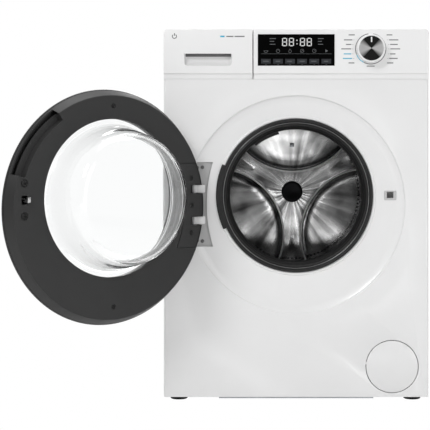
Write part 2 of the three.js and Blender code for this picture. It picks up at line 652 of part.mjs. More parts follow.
function tubRear() {
  const w = tub.wall;
  const s = tub.split + GAP;
  const rearWall = tub.back;
  const shell = turned([[shaft.frontR + 3, rearWall - w], [tubIn - 20, rearWall - w], [tubIn,
      rearWall - 24],
    [tubIn, s], [tubOut + tub.flange, s], [tubOut + tub.flange, s + 7], [tubOut, s + 7], [tubOut,
        rearWall - 22],
    [tubIn - 18, rearWall], [tub.bossR, rearWall], [tub.bossR, tub.bossEnd], [shaft.frontR + 3,
        tub.bossEnd]],
  0, axisZ);
  const frontSeat = rod(bearings.frontR + GAP, 0, axisZ, bearings.frontY - 10,
    bearings.frontY + bearings.width + GAP, bearings.sides);
  const rearSeat = rod(bearings.rearR + GAP, 0, axisZ, bearings.rearY - GAP, tub.bossEnd + 5,
      bearings.sides);
  const onTub = (x, up) => axisZ + up * Math.sqrt(tubOut ** 2 - x ** 2);
  const earIn = spring.x - 9;
  const ear = (side) => box(Math.min(side * earIn, side * (spring.x + 9)), Math.max(side * earIn,
    side * (spring.x + 9)), spring.y - 8, spring.y + 8, onTub(earIn, 1) - 5, spring.seat - GAP);
  const rodSeat = (side) => box(side * damper.x - 9, side * damper.x + 9, damper.y - 9, damper.y + 9,
    damper.rodTop + GAP, onTub(damper.x - 9, -1) + 3);
  const lug = (x) => box(x - 6, x + 6, motor.y + 30, motor.y + 90, lugBottom, onTub(Math.abs(x) - 6,
      -1) + 3);
  const spigotFoot = onTub(Math.abs(drop.x) + drop.R, 1) - 11;
  const spigot = cut(post(drop.R, drop.x, drop.y, spigotFoot, drop.hoseEnd),
    rod(tubIn + 1, 0, axisZ, drop.y - 30, drop.y + 30, ROUND));
  const spigotBore = post(drop.R - drop.wall, drop.x, drop.y, spigotFoot - 30, drop.hoseEnd + 1);
  return cut(join(shell, ear(-1), ear(1), rodSeat(-1), rodSeat(1), lug(motor.x - 52),
      lug(motor.x + 52), spigot),
    frontSeat, rearSeat, spigotBore);
}

function frontCounterweight() {
  return sector(tub.neckR + 12, tubOut - 6, 200, 340, 24, tub.front - GAP, 0, axisZ);
}

function topCounterweight() {
  const bottom = axisZ + Math.sqrt(tubOut ** 2 - 60 ** 2) + GAP;
  const block = box(-20, 150, 250, 385, bottom - 40, bottom + 52);
  return cut(block, rod(tubOut + GAP * 2, 0, axisZ, 200, 400, ROUND));
}

function ringBearing(R, r, y) {
  return turned([[r, y], [R, y], [R, y + bearings.width], [r, y + bearings.width]], 0, axisZ,
      bearings.sides);
}

function heater() {
  const z = axisZ - tubIn + 3.5;
  const path = through([[-40, tub.back - 30, z + 6], [-40, 280, z + 4], [-36, 250, z + 3.4], [0, 242,
      z + 2.2],
    [36, 250, z + 3.4], [40, 280, z + 4], [40, tub.back - 30, z + 6]]);
  return tube(path, 3, 20, 5);
}

function motorHousing() {
  const { x, z, R, y, length } = motor;
  const can = turned([[motor.shaftR + RUN, y + 4], [R - 8, y + 4], [R - 8, y], [R - 4, y], [R, y + 4],
    [R, y + length - 4], [R - 4, y + length], [motor.shaftR + RUN, y + length]], x, z, 24);
  const ear = (dx) => box(x + dx - 6, x + dx + 6, y + 32, y + 88, z + 20, lugBottom - GAP);
  const cavity = rod(motor.shaftR + RUN, x, z, y - 5, y + length + 5);
  return cut(join(can, ear(-52), ear(52)), cavity);
}

function motorPulley() {
  const { x, z, y, length, pulleyR, shaftR } = motor;
  return join(rod(shaftR, x, z, y + 2, y + length + 4), rod(pulleyR, x, z, pulley.y - 1,
    pulley.y + pulley.width + 1), rod(shaftR, x, z, y + length, pulley.y));
}

function driveBelt() {
  const [dx, dz] = [motor.x, motor.z - axisZ];
  const span = Math.hypot(dx, dz);
  const along = Math.atan2(dz, dx);
  const loop = (grow) => {
    const R = pulley.R + GAP + grow;
    const r = motor.pulleyR + GAP + grow;
    const lean = Math.acos((R - r) / span);
    const shape = new THREE.Shape();
    shape.absarc(0, axisZ, R, along + lean, along - lean + 2 * Math.PI, false);
    shape.absarc(dx, motor.z, r, along - lean, along + lean, false);
    shape.closePath();
    return shape;
  };
  const y0 = pulley.y + (pulley.width - belt.width) / 2;
  return cut(plate(loop(belt.thick), y0, y0 + belt.width, 16), plate(loop(0), y0 - 1,
      y0 + belt.width + 1, 16));
}

function suspensionSpring(side) {
  const { coilR, wireR, turns, top, y, seat } = spring;
  const points = [];
  const perTurn = 8;
  const n = turns * perTurn;
  for (let i = 0; i <= n; i++) {
    const a = (2 * Math.PI * i) / perTurn;
    const h = top - GAP - wireR - ((top - seat - 2 * wireR - GAP) * i) / n;
    points.push([side * (spring.x + 1) + coilR * Math.cos(a) * 0.98, y + coilR * Math.sin(a), h]);
  }
  return tube(through(points), wireR, n, 4);
}

function damperCylinder(side) {
  const [x, y] = [side * damper.x, damper.y];
  return cut(post(damper.R, x, y, base.top + GAP, damper.top), post(damper.boreR, x, y, base.top + 12,
      damper.top + 1));
}

function damperRod(side) {
  return post(damper.rodR, side * damper.x, damper.y, base.top + 12 + bounce + 8, damper.rodTop, 14);
}

function drumShell() {
  const { R, sheet, front, back, mouthR } = drum;
  return turned([
    [mouthR, front], [mouthR + 4, front - 2], [mouthR + 12, front], [R - 10, front + 9], [R,
        front + 22], [R, back],
    [R - sheet, back], [R - sheet, front + 22.5], [R - 11, front + 10.6], [mouthR + 12, front + 1.6],
    [mouthR + 3, front + 1],
  ], 0, axisZ);
}

function drumBack() {
  const R = drum.R - drum.sheet - GAP;
  const y = drum.back;
  return turned([[0, y - 14], [26, y - 14], [44, y - 3], [120, y - 3], [160, y - 10], [R, y - 10], [R,
      y - 8.5],
    [160, y - 8.5], [120, y - 1.5], [0, y - 1.5]], 0, axisZ);
}

function lifter(index) {
  const h = drum.lifterHigh;
  const half = drum.lifterHalf;
  const r = Math.sqrt(((drum.R - drum.sheet) * Math.cos(Math.PI / ROUND)) ** 2 - half ** 2) - GAP;
  const shape = polygon([[-half, 0], [-half * 0.4, h - 8], [-half * 0.2, h], [half * 0.2, h],
      [half * 0.4, h - 8],
    [half, 0]].reverse());
  const fin = plate(shape, drum.front + 26, drum.back - 12, 4);
  return fin.translate(0, 0, -r).rotate([0, index * 120, 0]).translate(0, 0, axisZ);
}

function drumSpider() {
  const y = drum.back + 4;
  const arm = (i) => box(-15, 15, y, y + 16, 0, drum.R - 4).rotate([0, i * 120 + 60, 0]).translate(0,
      0, axisZ);
  const hub = rod(42, 0, axisZ, y, y + 26, 24);
  const journal = join(rod(shaft.frontR, 0, axisZ, y + 20, bearings.rearY - 4),
    rod(shaft.rearR, 0, axisZ, bearings.rearY - 6, shaft.end));
  return join(hub, arm(0), arm(1), arm(2), journal);
}

function drumPulley() {
  const { R, y, width } = pulley;
  return turned([[shaft.rearR + GAP, y - 4], [30, y - 4], [30, y + 4], [R - 8, y + 4], [R - 8, y], [R, y],
    [R, y + width], [R - 8, y + width], [R - 8, y + 9], [30, y + 9], [30, y + width],
    [shaft.rearR + GAP, y + width]], 0, axisZ);
}

// ---- drain ----
function drainPump() {
  const { x, z, boreR, wall } = filter;
  const body = turned([[0, 60], [boreR, 60], [boreR, 24], [boreR + wall, 24], [boreR + wall, 70],
      [boreR + 6, 76],
    [boreR + 6, 130], [filter.pump, 136], [filter.pump, 190], [0, 190]], x, z, 24);
  const inletStub = post(15, x, 105, z + 20, z + 55);
  const saddle = box(x - 24, x + 24, 84, 120, base.top + 1, z - 20);
  return join(body, inletStub, saddle);
}

function sumpHose() {
  const { x, z } = filter;
  return tube(through([[x, 105, z + 55.5], [x, 105, z + 66], [x - 10, 110, z + 92], [x - 46, 126,
      z + 122],
    [x - 58, 132, z + 145]]), 16, 8, 8);
}

function filterCap() {
  const { x, z, boreR } = filter;
  const cap = rod(boreR - RUN, x, z, 14, 54, 24);
  const bar = box(x - boreR + 6, x + boreR - 6, 5, 15, z - 4, z + 4);
  return join(cap, bar);
}

function filterCover() {
  const { x, z, R, thick } = filter;
  const disc = rod(R, x, z, 0, thick, 40);
  const tab = box(x + 2, x + 8, -1, 1.4, z + R - 20, z + R - 12);
  return cut(disc, tab);
}

function selectorKnob() {
  const y = -fascia.proud - RUN;
  const body = turned([[0, y - knob.height], [knob.faceR, y - knob.height], [knob.R - 1.5,
      y - knob.height + 1.5],
    [knob.R, y - knob.height + 4], [knob.R, y], [0, y]], knob.x, knob.z, 40);
  const stem = rod(knob.shaftR, knob.x, knob.z, y - 1, 14);
  return join(body, stem);
}

function drainOutlet() {
  const { x, z, R } = outlet;
  return turned([[R - 3, backFace - 30], [R, backFace - 30], [R, backFace - 4], [R, backFace + 22],
    [R - 3, backFace + 22]], x, z, SMALL);
}

function cableGland() {
  const { x, z, R } = gland;
  return turned([[3.6, backFace - 8], [R, backFace - 8], [R, backFace + GAP], [R + 4, backFace + GAP],
    [R + 3, backFace + 6], [3.6, backFace + 12]], x, z, SMALL);
}

// ---- assembly ----
add("base_frame", baseFrame(), "zinc");
add("left_side_panel", sidePanel(-1), "paint");
add("right_side_panel", sidePanel(1), "paint");
add("rear_panel", rearPanel(), "paint");
add("rear_service_cover", serviceCover(), "paint");
add("top_panel", topPanel(), "whitePlastic");
add("front_panel", frontPanel(), "paint");
add("control_fascia", controlFascia(), "whitePlastic");
add("display_window", displayWindow(), "blackGlass");
add("display_board", displayBoard(), "board");
add("front_crossbar", frontCrossbar(), "zinc");
add("dispenser_housing", dispenserHousing(), "greyPlastic");
add("inlet_valve", inletValve(), "greyPlastic");
add("dispenser_hose", dispenserHose(), "rubber");
add("hinge_bracket", hingeBracket(), "paint");
add("hinge_pin", hingePin(), "zinc");
add("door_lock", doorLock(), "greyPlastic");
add("drain_pump", drainPump(), "greyPlastic");
add("sump_hose", sumpHose(), "rubber");
add("drain_outlet", drainOutlet(), "greyPlastic");
add("cable_gland", cableGland(), "blackPlastic");
add("seal", seal(), "rubber");
[["left", -1], ["right", 1]].forEach(([name, side]) => {
  add(`suspension_spring_${name}`, suspensionSpring(side), "zinc");
  add(`damper_cylinder_${name}`, damperCylinder(side), "greyPlastic");
  add(`damper_rod_${name}`, damperRod(side), "zinc");
});
add("tub_front", tubFront(), "greyPlastic");
add("tub_rear", tubRear(), "greyPlastic");
add("front_counterweight", frontCounterweight(), "concrete");
add("top_counterweight", topCounterweight(), "concrete");
add("front_bearing", ringBearing(bearings.frontR, shaft.frontR + GAP, bearings.frontY), "stainless");
add("rear_bearing", ringBearing(bearings.rearR, shaft.rearR + GAP, bearings.rearY), "stainless");
add("heater", heater(), "stainless");
add("motor_housing", motorHousing(), "aluminium");
add("drive_belt", driveBelt(), "rubber");
add("drum_shell", drumShell(), "stainless");
add("drum_back", drumBack(), "stainless");
[0, 1, 2].forEach((i) => add(`lifter_${i + 1}`, lifter(i), "stainless"));
add("drum_spider", drumSpider(), "aluminium");
add("drum_pulley", drumPulley(), "aluminium");
add("motor_pulley", motorPulley(), "zinc");
add("door_cover", doorCover(), "blackPlastic", doorParts);
add("door_inner_ring", doorInnerRing(), "blackPlastic", doorParts);
add("door_glass", doorGlass(), "glass", doorParts);
add("hinge_leaf", hingeLeaf(), "zinc", doorParts);
add("hinge_cover", hingeCover(), "blackPlastic", doorParts);
add("latch_hook", latchHook(), "zinc", doorParts);
add("selector_knob", selectorKnob(), "whitePlastic");
add("drawer_front", drawerFront(), "whitePlastic");
add("drawer_tray", drawerTray(), "whitePlastic");
add("filter_cover", filterCover(), "whitePlastic");
add("filter_cap", filterCap(), "greyPlastic");
["front_left", "front_right", "rear_left", "rear_right"].forEach((name, i) => {
  add(`foot_${name}`, levellingFoot(...footPlaces()[i]), "rubber");
});

// The origin is the middle of the base of everything, with the door standing open.
machine.updateMatrixWorld(true);
const bounds = new THREE.Box3().setFromObject(machine, true);
const middle = bounds.getCenter(new THREE.Vector3());
const assembly = new THREE.Group();
machine.position.set(-middle.x, -middle.y, -bounds.min.z);
assembly.add(machine);

export default assembly;
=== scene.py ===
"""A front loading washing machine with its door open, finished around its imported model."""

import logging
import math
from dataclasses import dataclass, field
from enum import Enum
from typing import Callable

import bpy
from mathutils import Matrix, Vector


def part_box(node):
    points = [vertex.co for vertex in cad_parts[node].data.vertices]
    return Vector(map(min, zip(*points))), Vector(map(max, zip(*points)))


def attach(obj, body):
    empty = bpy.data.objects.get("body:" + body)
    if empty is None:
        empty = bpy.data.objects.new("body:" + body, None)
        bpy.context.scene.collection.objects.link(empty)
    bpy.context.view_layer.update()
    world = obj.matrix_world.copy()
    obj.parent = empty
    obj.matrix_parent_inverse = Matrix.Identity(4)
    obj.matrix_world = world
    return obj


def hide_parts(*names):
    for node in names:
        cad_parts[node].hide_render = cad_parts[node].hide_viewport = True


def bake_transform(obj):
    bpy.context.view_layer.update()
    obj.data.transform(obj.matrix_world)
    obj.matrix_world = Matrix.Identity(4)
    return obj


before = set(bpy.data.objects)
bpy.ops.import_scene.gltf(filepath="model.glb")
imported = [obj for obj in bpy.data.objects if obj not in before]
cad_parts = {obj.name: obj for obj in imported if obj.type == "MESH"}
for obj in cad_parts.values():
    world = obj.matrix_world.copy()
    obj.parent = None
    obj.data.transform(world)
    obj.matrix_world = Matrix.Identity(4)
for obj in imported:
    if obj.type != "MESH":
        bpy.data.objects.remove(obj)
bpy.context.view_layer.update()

MM = 0.001
FULL_TURN = 2.0 * math.pi
CABINET_DEPTH = 540.0
LARGE = 160  # sides of a large circle
MEDIUM = 64
SMALL = 28

log = logging.getLogger("washing_machine")
Point = tuple[float, float, float]
Profile = list[tuple[float, float]]


# ---- places ----

def _cabinet_origin() -> Vector:
    """Find the cabinet's own origin, on the floor at the middle of its front face.

    Returns:
        The origin in the frame, in metres.
    """
    low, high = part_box("top_panel")
    return Vector(((low[0] + high[0]) / 2, high[1] - CABINET_DEPTH * MM, 0.0))


ORIGIN = _cabinet_origin()


def place(x: float, y: float, z: float) -> Vector:
    """Turn a place in the cabinet, in millimetres, into a place in the frame, in metres."""
    return ORIGIN + Vector((x, y, z)) * MM


def step(x: float, y: float, z: float) -> Vector:
    """Turn a movement in millimetres into one in metres."""
    return Vector((x, y, z)) * MM


def arc(cy: float, cr: float, radius: float, start: float, end: float, points: int = 6) -> Profile:
    """List points of a rounded stretch of a turned profile.

    Args:
        cy: the arc's centre along the axis.
        cr: the arc's centre radius.
        radius: the arc's own radius.
        start: first angle in degrees, from outwards towards the back.
        end: last angle in degrees.
        points: how many points to make.

    Returns:
        A list of (radius, y) points.
    """
    turns = [math.radians(start + (end - start) * i / (points - 1)) for i in range(points)]
    return [(cr + radius * math.cos(a), cy + radius * math.sin(a)) for a in turns]


# ---- modelling by hand ----

def only(piece: bpy.types.Object) -> bpy.types.Object:
    """Select one piece and make it active."""
    bpy.ops.object.select_all(action="DESELECT")
    piece.select_set(True)
    bpy.context.view_layer.objects.active = piece
    return piece


def edit(piece: bpy.types.Object) -> None:
    """Open a piece in edit mode with all of it selected."""
    only(piece)
    bpy.ops.object.mode_set(mode="EDIT")
    bpy.ops.mesh.select_all(action="SELECT")


def done() -> None:
    """Leave edit mode."""
    bpy.ops.object.mode_set(mode="OBJECT")


def settle(piece: bpy.types.Object) -> bpy.types.Object:
    """Put a piece's place into its mesh, so that its object stands at the origin."""
    only(piece)
    bpy.ops.object.transform_apply(location=True, rotation=True, scale=True)
    return piece


def apply_modifier(piece: bpy.types.Object, kind: str, **settings: object) -> bpy.types.Object:
    """Add a modifier with its settings and apply it.

    Args:
        piece: the piece to change.
        kind: the modifier's type.
        **settings: the modifier's values by name.

    Returns:
        The same piece.
    """
    only(piece)
    modifier = piece.modifiers.new(kind.lower(), kind)
    for name, value in settings.items():
        setattr(modifier, name, value)
    bpy.ops.object.modifier_apply(modifier=modifier.name)
    return piece


class Join(Enum):
    """The ways two solids are put together."""

    CUT = "DIFFERENCE"
    ADD = "UNION"
    KEEP_COMMON = "INTERSECT"


def combine(piece: bpy.types.Object, tool: bpy.types.Object, how: Join) -> bpy.types.Object:
    """Cut or join a piece with a tool solid, and remove the tool.

    Args:
        piece: the piece to change.
        tool: the solid that changes it.
        how: the kind of join.

    Returns:
        The changed piece.
    """
    apply_modifier(piece, "BOOLEAN", object=tool, operation=how.value, solver="EXACT")
    bpy.data.objects.remove(tool, do_unlink=True)
    return piece


def soften(piece: bpy.types.Object, width: float, segments: int = 3, angle: float = 35.0) -> bpy.types.Object:
    """Round the sharp edges of a piece.

    Args:
        piece: the piece to change.
        width: the rounding in millimetres.
        segments: how many strips the rounding has.
        angle: the least angle in degrees that counts as sharp.

    Returns:
        The same piece.
    """
    return apply_modifier(piece, "BEVEL", width=width * MM, segments=segments, limit_method="ANGLE",
                          angle_limit=math.radians(angle), use_clamp_overlap=True)


def block(low: Point, high: Point, rounding: float = 0.0, segments: int = 3) -> bpy.types.Object:
    """Make a box from a cube by resizing it, and round its edges.

    Args:
        low: lowest corner in the cabinet, in millimetres.
        high: highest corner.
        rounding: radius of all edges.
        segments: strips in the rounding.

    Returns:
        The new piece.
    """
    middle = place(*[(a + b) / 2 for a, b in zip(low, high)])
    bpy.ops.mesh.primitive_cube_add(size=MM, location=middle)
    piece = bpy.context.object
    piece.scale = [b - a for a, b in zip(low, high)]
    settle(piece)
    if rounding:
        edit(piece)
        bpy.ops.mesh.bevel(offset=rounding * MM, segments=segments, affect="EDGES")
        done()
    return piece


def turned(profile: Profile, x: float, z: float, steps: int = LARGE, angle: float = FULL_TURN) -> bpy.types.Object:
    """Spin a profile about an axis along Y.

    Args:
        profile: (radius, y) points in millimetres, which close on themselves or end on the axis.
        x: the axis's place across the cabinet.
        z: the axis's height.
        steps: how many sides the circle has.
        angle: how far to spin, in radians.

    Returns:
        The new piece, with its faces pointing outwards.
    """
    bpy.ops.object.select_all(action="DESELECT")
    bpy.ops.mesh.primitive_plane_add(size=MM)
    piece = bpy.context.object
    bpy.ops.object.mode_set(mode="EDIT")
    bpy.ops.mesh.merge(type="CENTER")
    points = [place(x + r, y, z) for r, y in profile]
    bpy.ops.transform.translate(value=points[0])
    for here, there in zip(points, points[1:]):
        bpy.ops.mesh.extrude_region_move(TRANSFORM_OT_translate={"value": there - here})
    bpy.ops.mesh.select_all(action="SELECT")
    bpy.ops.mesh.remove_doubles(threshold=0.01 * MM)
    bpy.ops.mesh.select_all(action="SELECT")
    bpy.ops.mesh.spin(steps=steps, angle=angle, center=place(x, 0, z), axis=(0, 1, 0))
    bpy.ops.mesh.select_all(action="SELECT")
    bpy.ops.mesh.remove_doubles(threshold=0.01 * MM)
    bpy.ops.mesh.normals_make_consistent(inside=False)
    done()
    return piece


def ring(r0: float, r1: float, y0: float, y1: float, x: float, z: float, steps: int = LARGE) -> bpy.types.Object:
    """Make a plain ring about an axis along Y, between two radii and two depths."""
    return turned([(r0, y0), (r1, y0), (r1, y1), (r0, y1), (r0, y0)], x, z, steps)


def disc(radius: float, y0: float, y1: float, x: float, z: float, steps: int = MEDIUM,
         rounding: float = 0.0) -> bpy.types.Object:
    """Make a disc about an axis along Y, with a rounded front edge.

    Args:
        radius: the disc's radius.
        y0: its front.
        y1: its back.
        x: its axis across the cabinet.
        z: its axis's height.
        steps: sides of the circle.
        rounding: radius of the front edge.

    Returns:
        The new piece.
    """
    edge = arc(y0 + rounding, radius - rounding, rounding, -90, 0, 5) if rounding else [(radius, y0)]
    return turned([(0, y0), *edge, (radius, y1), (0, y1)], x, z, steps)


def wedge(r0: float, r1: float, y0: float, y1: float, x: float, z: float, start: float, end: float,
          steps: int = 40) -> bpy.types.Object:
    """Spin a rectangle part of the way round an axis along Y.

    Args:
        r0: inner radius.
        r1: outer radius.
        y0: front depth.
        y1: back depth.
        x: the axis across the cabinet.
        z: the axis's height.
        start: first angle in degrees, from the right side upwards.
        end: last angle.
        steps: strips along the arc.

    Returns:
        The new piece.
    """
    middle = place(x + (r0 + r1) / 2, (y0 + y1) / 2, z)
    bpy.ops.object.select_all(action="DESELECT")
    bpy.ops.mesh.primitive_plane_add(size=MM, location=middle, rotation=(math.pi / 2, 0, 0))
    piece = bpy.context.object
    piece.rotation_euler = (0, 0, 0)
    piece.scale = (r1 - r0, y1 - y0, 1)
    settle(piece)
    edit(piece)
    centre = place(x, 0, z)
    bpy.ops.mesh.spin(steps=steps, angle=math.radians(end - start), center=centre, axis=(0, 1, 0))
    bpy.ops.mesh.select_all(action="SELECT")
    bpy.ops.mesh.remove_doubles(threshold=0.01 * MM)
    bpy.ops.mesh.normals_make_consistent(inside=False)
    done()
    return spin_about(piece, "Y", -start, centre)


def spin_about(piece: bpy.types.Object, axis: str, degrees: float, centre: Vector) -> bpy.types.Object:
    """Turn a piece about an axis through a centre, and put the turn into its mesh.

    Args:
        piece: the piece to turn.
        axis: X, Y or Z.
        degrees: how far, by the right-hand rule.
        centre: a point on the axis, in metres.

    Returns:
        The same piece.
    """
    turn = Matrix.Rotation(math.radians(degrees), 4, axis)
    piece.matrix_world = Matrix.Translation(centre) @ turn @ Matrix.Translation(-centre) @ piece.matrix_world
    return settle(piece)


def copy_of(piece: bpy.types.Object) -> bpy.types.Object:
    """Copy a piece with its own mesh."""
    twin = piece.copy()
    twin.data = piece.data.copy()
    bpy.context.collection.objects.link(twin)
    return twin


def joined(pieces: list[bpy.types.Object]) -> bpy.types.Object:
    """Join several pieces into one object."""
    bpy.ops.object.select_all(action="DESELECT")
    for piece in pieces:
        piece.select_set(True)
    bpy.context.view_layer.objects.active = pieces[0]
    if len(pieces) > 1:
        bpy.ops.object.join()
    return bpy.context.view_layer.objects.active


def around(piece: bpy.types.Object, count: int, centre: Vector, sweep: float = 360.0) -> bpy.types.Object:
    """Copy a piece round an axis along Y and join the copies.

    Args:
        piece: the first copy.
        count: how many there are.
        centre: a point on the axis, in metres.
        sweep: the angle that they are spread over.

    Returns:
        The joined piece.
    """
    copies = [piece] + [spin_about(copy_of(piece), "Y", sweep * i / count, centre) for i in range(1, count)]
    return joined(copies)


def from_cad(*names: str) -> bpy.types.Object:
    """Copy the shape of CAD nodes into a new piece with its seams merged.

    Args:
        *names: the nodes' names.

    Returns:
        The new piece.
    """
    copies = []
    for name in names:
        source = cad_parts[name]
        twin = bpy.data.objects.new(name + "_copy", source.data.copy())
        twin.matrix_world = source.matrix_world.copy()
        bpy.context.collection.objects.link(twin)
        twin.data.materials.clear()
        copies.append(twin)
    piece = settle(joined(copies))
    edit(piece)
    bpy.ops.mesh.remove_doubles(threshold=0.01 * MM)
    done()
    return piece


# ---- finishes ----

def colour(code: str) -> tuple[float, float, float, float]:
    """Turn an sRGB hex colour into linear values."""
    parts = [int(code[i:i + 2], 16) / 255 for i in (1, 3, 5)]
    return tuple([c / 12.92 if c <= 0.04045 else ((c + 0.055) / 1.055) ** 2.4 for c in parts] + [1.0])


def add_node(tree: bpy.types.NodeTree, kind: str, inputs: dict | None = None, **settings: object) -> bpy.types.Node:
    """Add a shader node with its settings and links.

    Args:
        tree: the material's node tree.
        kind: the node's type without its ShaderNode prefix.
        inputs: socket name or index to a value, or to the socket that feeds it.
        **settings: the node's own properties.

    Returns:
        The node.
    """
    made = tree.nodes.new("ShaderNode" + kind)
    for name, value in settings.items():
        setattr(made, name, value)
    for key, value in (inputs or {}).items():
        if isinstance(value, bpy.types.NodeSocket):
            tree.links.new(value, made.inputs[key])
        else:
            made.inputs[key].default_value = value
    return made


class Texture(Enum):
    """How a surface was made, which sets its fine pattern."""

    GRAINED = "grained"
    ORANGE_PEEL = "orange peel"
    BRUSHED = "brushed"
    SMOOTH = "smooth"
    CAST = "cast"
    PERFORATED = "perforated"


@dataclass(frozen=True)
class Finish:
    """A solid material with a fine pattern.

    Attributes:
        name: its common name.
        hue: sRGB hex colour.
        shade: a second sRGB colour that it drifts towards.
        roughness: mean roughness.
        metallic: 1 for a metal.
        ior: index of refraction of a plastic or a paint.
        texture: how its surface was made.
        grain_mm: spacing of the pattern.
        relief_mm: depth of the pattern.
        coat: clear coat weight.
        glow: emission strength.
        centre: a place on the axis of turned or brushed work, in metres.
    """

    name: str
    hue: str
    shade: str
    roughness: float
    metallic: float = 0.0
    ior: float = 1.5
    texture: Texture = Texture.GRAINED
    grain_mm: float = 0.6
    relief_mm: float = 0.02
    coat: float = 0.0
    glow: float = 0.0
    centre: tuple[float, float, float] = (0.0, 0.0, 0.0)

    def build(self) -> bpy.types.Material:
        """Make the material, or find it if it was made before."""
        known = bpy.data.materials.get(self.name)
        if known:
            return known
        material = bpy.data.materials.new(self.name)
        material.use_nodes = True
        tree = material.node_tree
        tree.nodes.clear()
        spot = add_node(tree, "TexCoord").outputs["Object"]
        base = self.base_colour(tree, spot)
        shader = add_node(tree, "BsdfPrincipled", {
            "Base Color": base, "Metallic": self.metallic, "Roughness": self.rough_pattern(tree, spot),
            "Coat Weight": self.coat, "Coat Roughness": 0.08})
        if not self.metallic:
            shader.inputs["IOR"].default_value = self.ior
        if self.glow:
            shader.inputs["Emission Color"].default_value = colour(self.hue)
            shader.inputs["Emission Strength"].default_value = self.glow
        if self.texture is Texture.BRUSHED:
            shader.inputs["Anisotropic"].default_value = 0.5
        if self.relief_mm:
            height = self.relief(tree, spot)
            bump = add_node(tree, "Bump", {"Height": height, "Strength": 0.6, "Distance": self.relief_mm * MM})
            tree.links.new(bump.outputs["Normal"], shader.inputs["Normal"])
        add_node(tree, "OutputMaterial", {"Surface": shader.outputs["BSDF"]})
        return material

    def base_colour(self, tree: bpy.types.NodeTree, spot: bpy.types.NodeSocket) -> bpy.types.NodeSocket:
        """Let the colour drift a little over the surface, as moulded and rolled stock does."""
        drift = add_node(tree, "TexNoise", {"Vector": spot, "Scale": 1 / (90 * MM), "Detail": 3.0})
        mix = add_node(tree, "Mix", {0: drift.outputs["Fac"], 6: colour(self.hue), 7: colour(self.shade)},
                       data_type="RGBA")
        if self.texture is not Texture.PERFORATED:
            return mix.outputs[2]
        # The holes are painted near black: painted shade for the dark seen through them.
        hole_shade = self.holes(tree, spot)
        return add_node(tree, "Mix", {0: hole_shade, 6: mix.outputs[2], 7: colour("#0A0A0B")},
                        data_type="RGBA").outputs[2]

    def rough_pattern(self, tree: bpy.types.NodeTree, spot: bpy.types.NodeSocket) -> bpy.types.NodeSocket:
        """Vary the roughness by handling and tool marks."""
        smear = add_node(tree, "TexNoise", {"Vector": spot, "Scale": 1 / (35 * MM), "Detail": 4.0})
        spread = 0.12 if self.metallic else 0.08
        return add_node(tree, "MapRange", {
            "Value": smear.outputs["Fac"], "To Min": max(self.roughness - spread, 0.02),
            "To Max": self.roughness + spread}).outputs["Result"]

    def relief(self, tree: bpy.types.NodeTree, spot: bpy.types.NodeSocket) -> bpy.types.NodeSocket:
        """Give the fine height pattern of the surface."""
        if self.texture is Texture.BRUSHED:
            centred = add_node(tree, "Mapping", {"Vector": spot, "Location": [-c for c in self.centre]})
            radius = add_node(tree, "VectorMath", {0: self.flat(tree, centred.outputs["Vector"])},
                              operation="LENGTH")
            return add_node(tree, "TexNoise", {"W": radius.outputs["Value"], "Scale": 1 / (self.grain_mm * MM),
                                               "Detail": 3.0}, noise_dimensions="1D").outputs["Fac"]
        if self.texture is Texture.PERFORATED:
            return self.holes(tree, spot)
        detail = 1.0 if self.texture is Texture.ORANGE_PEEL else 5.0
        return add_node(tree, "TexNoise", {"Vector": spot, "Scale": 1 / (self.grain_mm * MM),
                                           "Detail": detail}).outputs["Fac"]

    def flat(self, tree: bpy.types.NodeTree, vector: bpy.types.NodeSocket) -> bpy.types.NodeSocket:
        """Drop the depth from a place, which leaves its distance from the axis."""
        return add_node(tree, "VectorMath", {0: vector, 1: (1.0, 0.0, 1.0)}, operation="MULTIPLY").outputs[0]

    def holes(self, tree: bpy.types.NodeTree, spot: bpy.types.NodeSocket) -> bpy.types.NodeSocket:
        """Set small round holes in staggered rows round a drum.

        Args:
            tree: the material's node tree.
            spot: the place on the surface.

        Returns:
            A socket that is 1 in a hole and 0 outside.
        """
        centred = add_node(tree, "Mapping", {"Vector": spot, "Location": [-c for c in self.centre]}).outputs[0]
        apart = add_node(tree, "SeparateXYZ", {0: centred})
        angle = add_node(tree, "Math", {0: apart.outputs["Z"], 1: apart.outputs["X"]}, operation="ARCTAN2")
        rim = self.centre_radius_mm * MM
        along = add_node(tree, "Math", {0: angle.outputs[0], 1: rim}, operation="MULTIPLY").outputs[0]
        sheet = add_node(tree, "CombineXYZ", {0: along, 1: apart.outputs["Y"], 2: 0.0}).outputs[0]
        turned_sheet = add_node(tree, "Mapping", {"Vector": sheet, "Rotation": (0, 0, math.pi / 4)}).outputs[0]
        cells = add_node(tree, "TexVoronoi", {"Vector": turned_sheet, "Scale": 1 / (self.grain_mm * MM),
                                              "Randomness": 0.0}, voronoi_dimensions="2D")
        return add_node(tree, "MapRange", {"Value": cells.outputs["Distance"], "From Min": 0.17, "From Max": 0.12,
                                           "To Min": 0.0, "To Max": 1.0}).outputs["Result"]

    @property
    def centre_radius_mm(self) -> float:
        """Radius of the drum wall that the holes are punched in."""
        return 244.0


AXIS = place(0, 0, 468)
# Powder coated sheet steel: a faint orange peel and a satin sheen.
ENAMEL = Finish("white_enamel_sheet", "#EFEFEF", "#EBEBEB", 0.34, ior=1.5, texture=Texture.ORANGE_PEEL,
                grain_mm=2.2, relief_mm=0.015, coat=0.25)
# Moulded ABS: a very fine spark grain, a little softer than the enamel.
WHITE_ABS = Finish("white_abs", "#F1F1F1", "#EDEDED", 0.4, ior=1.53, grain_mm=0.5, relief_mm=0.012)
# Dark grey moulded polypropylene with an eroded grain.
BLACK_PP = Finish("charcoal_polypropylene", "#2F2F2F", "#2B2B2B", 0.55, ior=1.45, grain_mm=0.5, relief_mm=0.03)
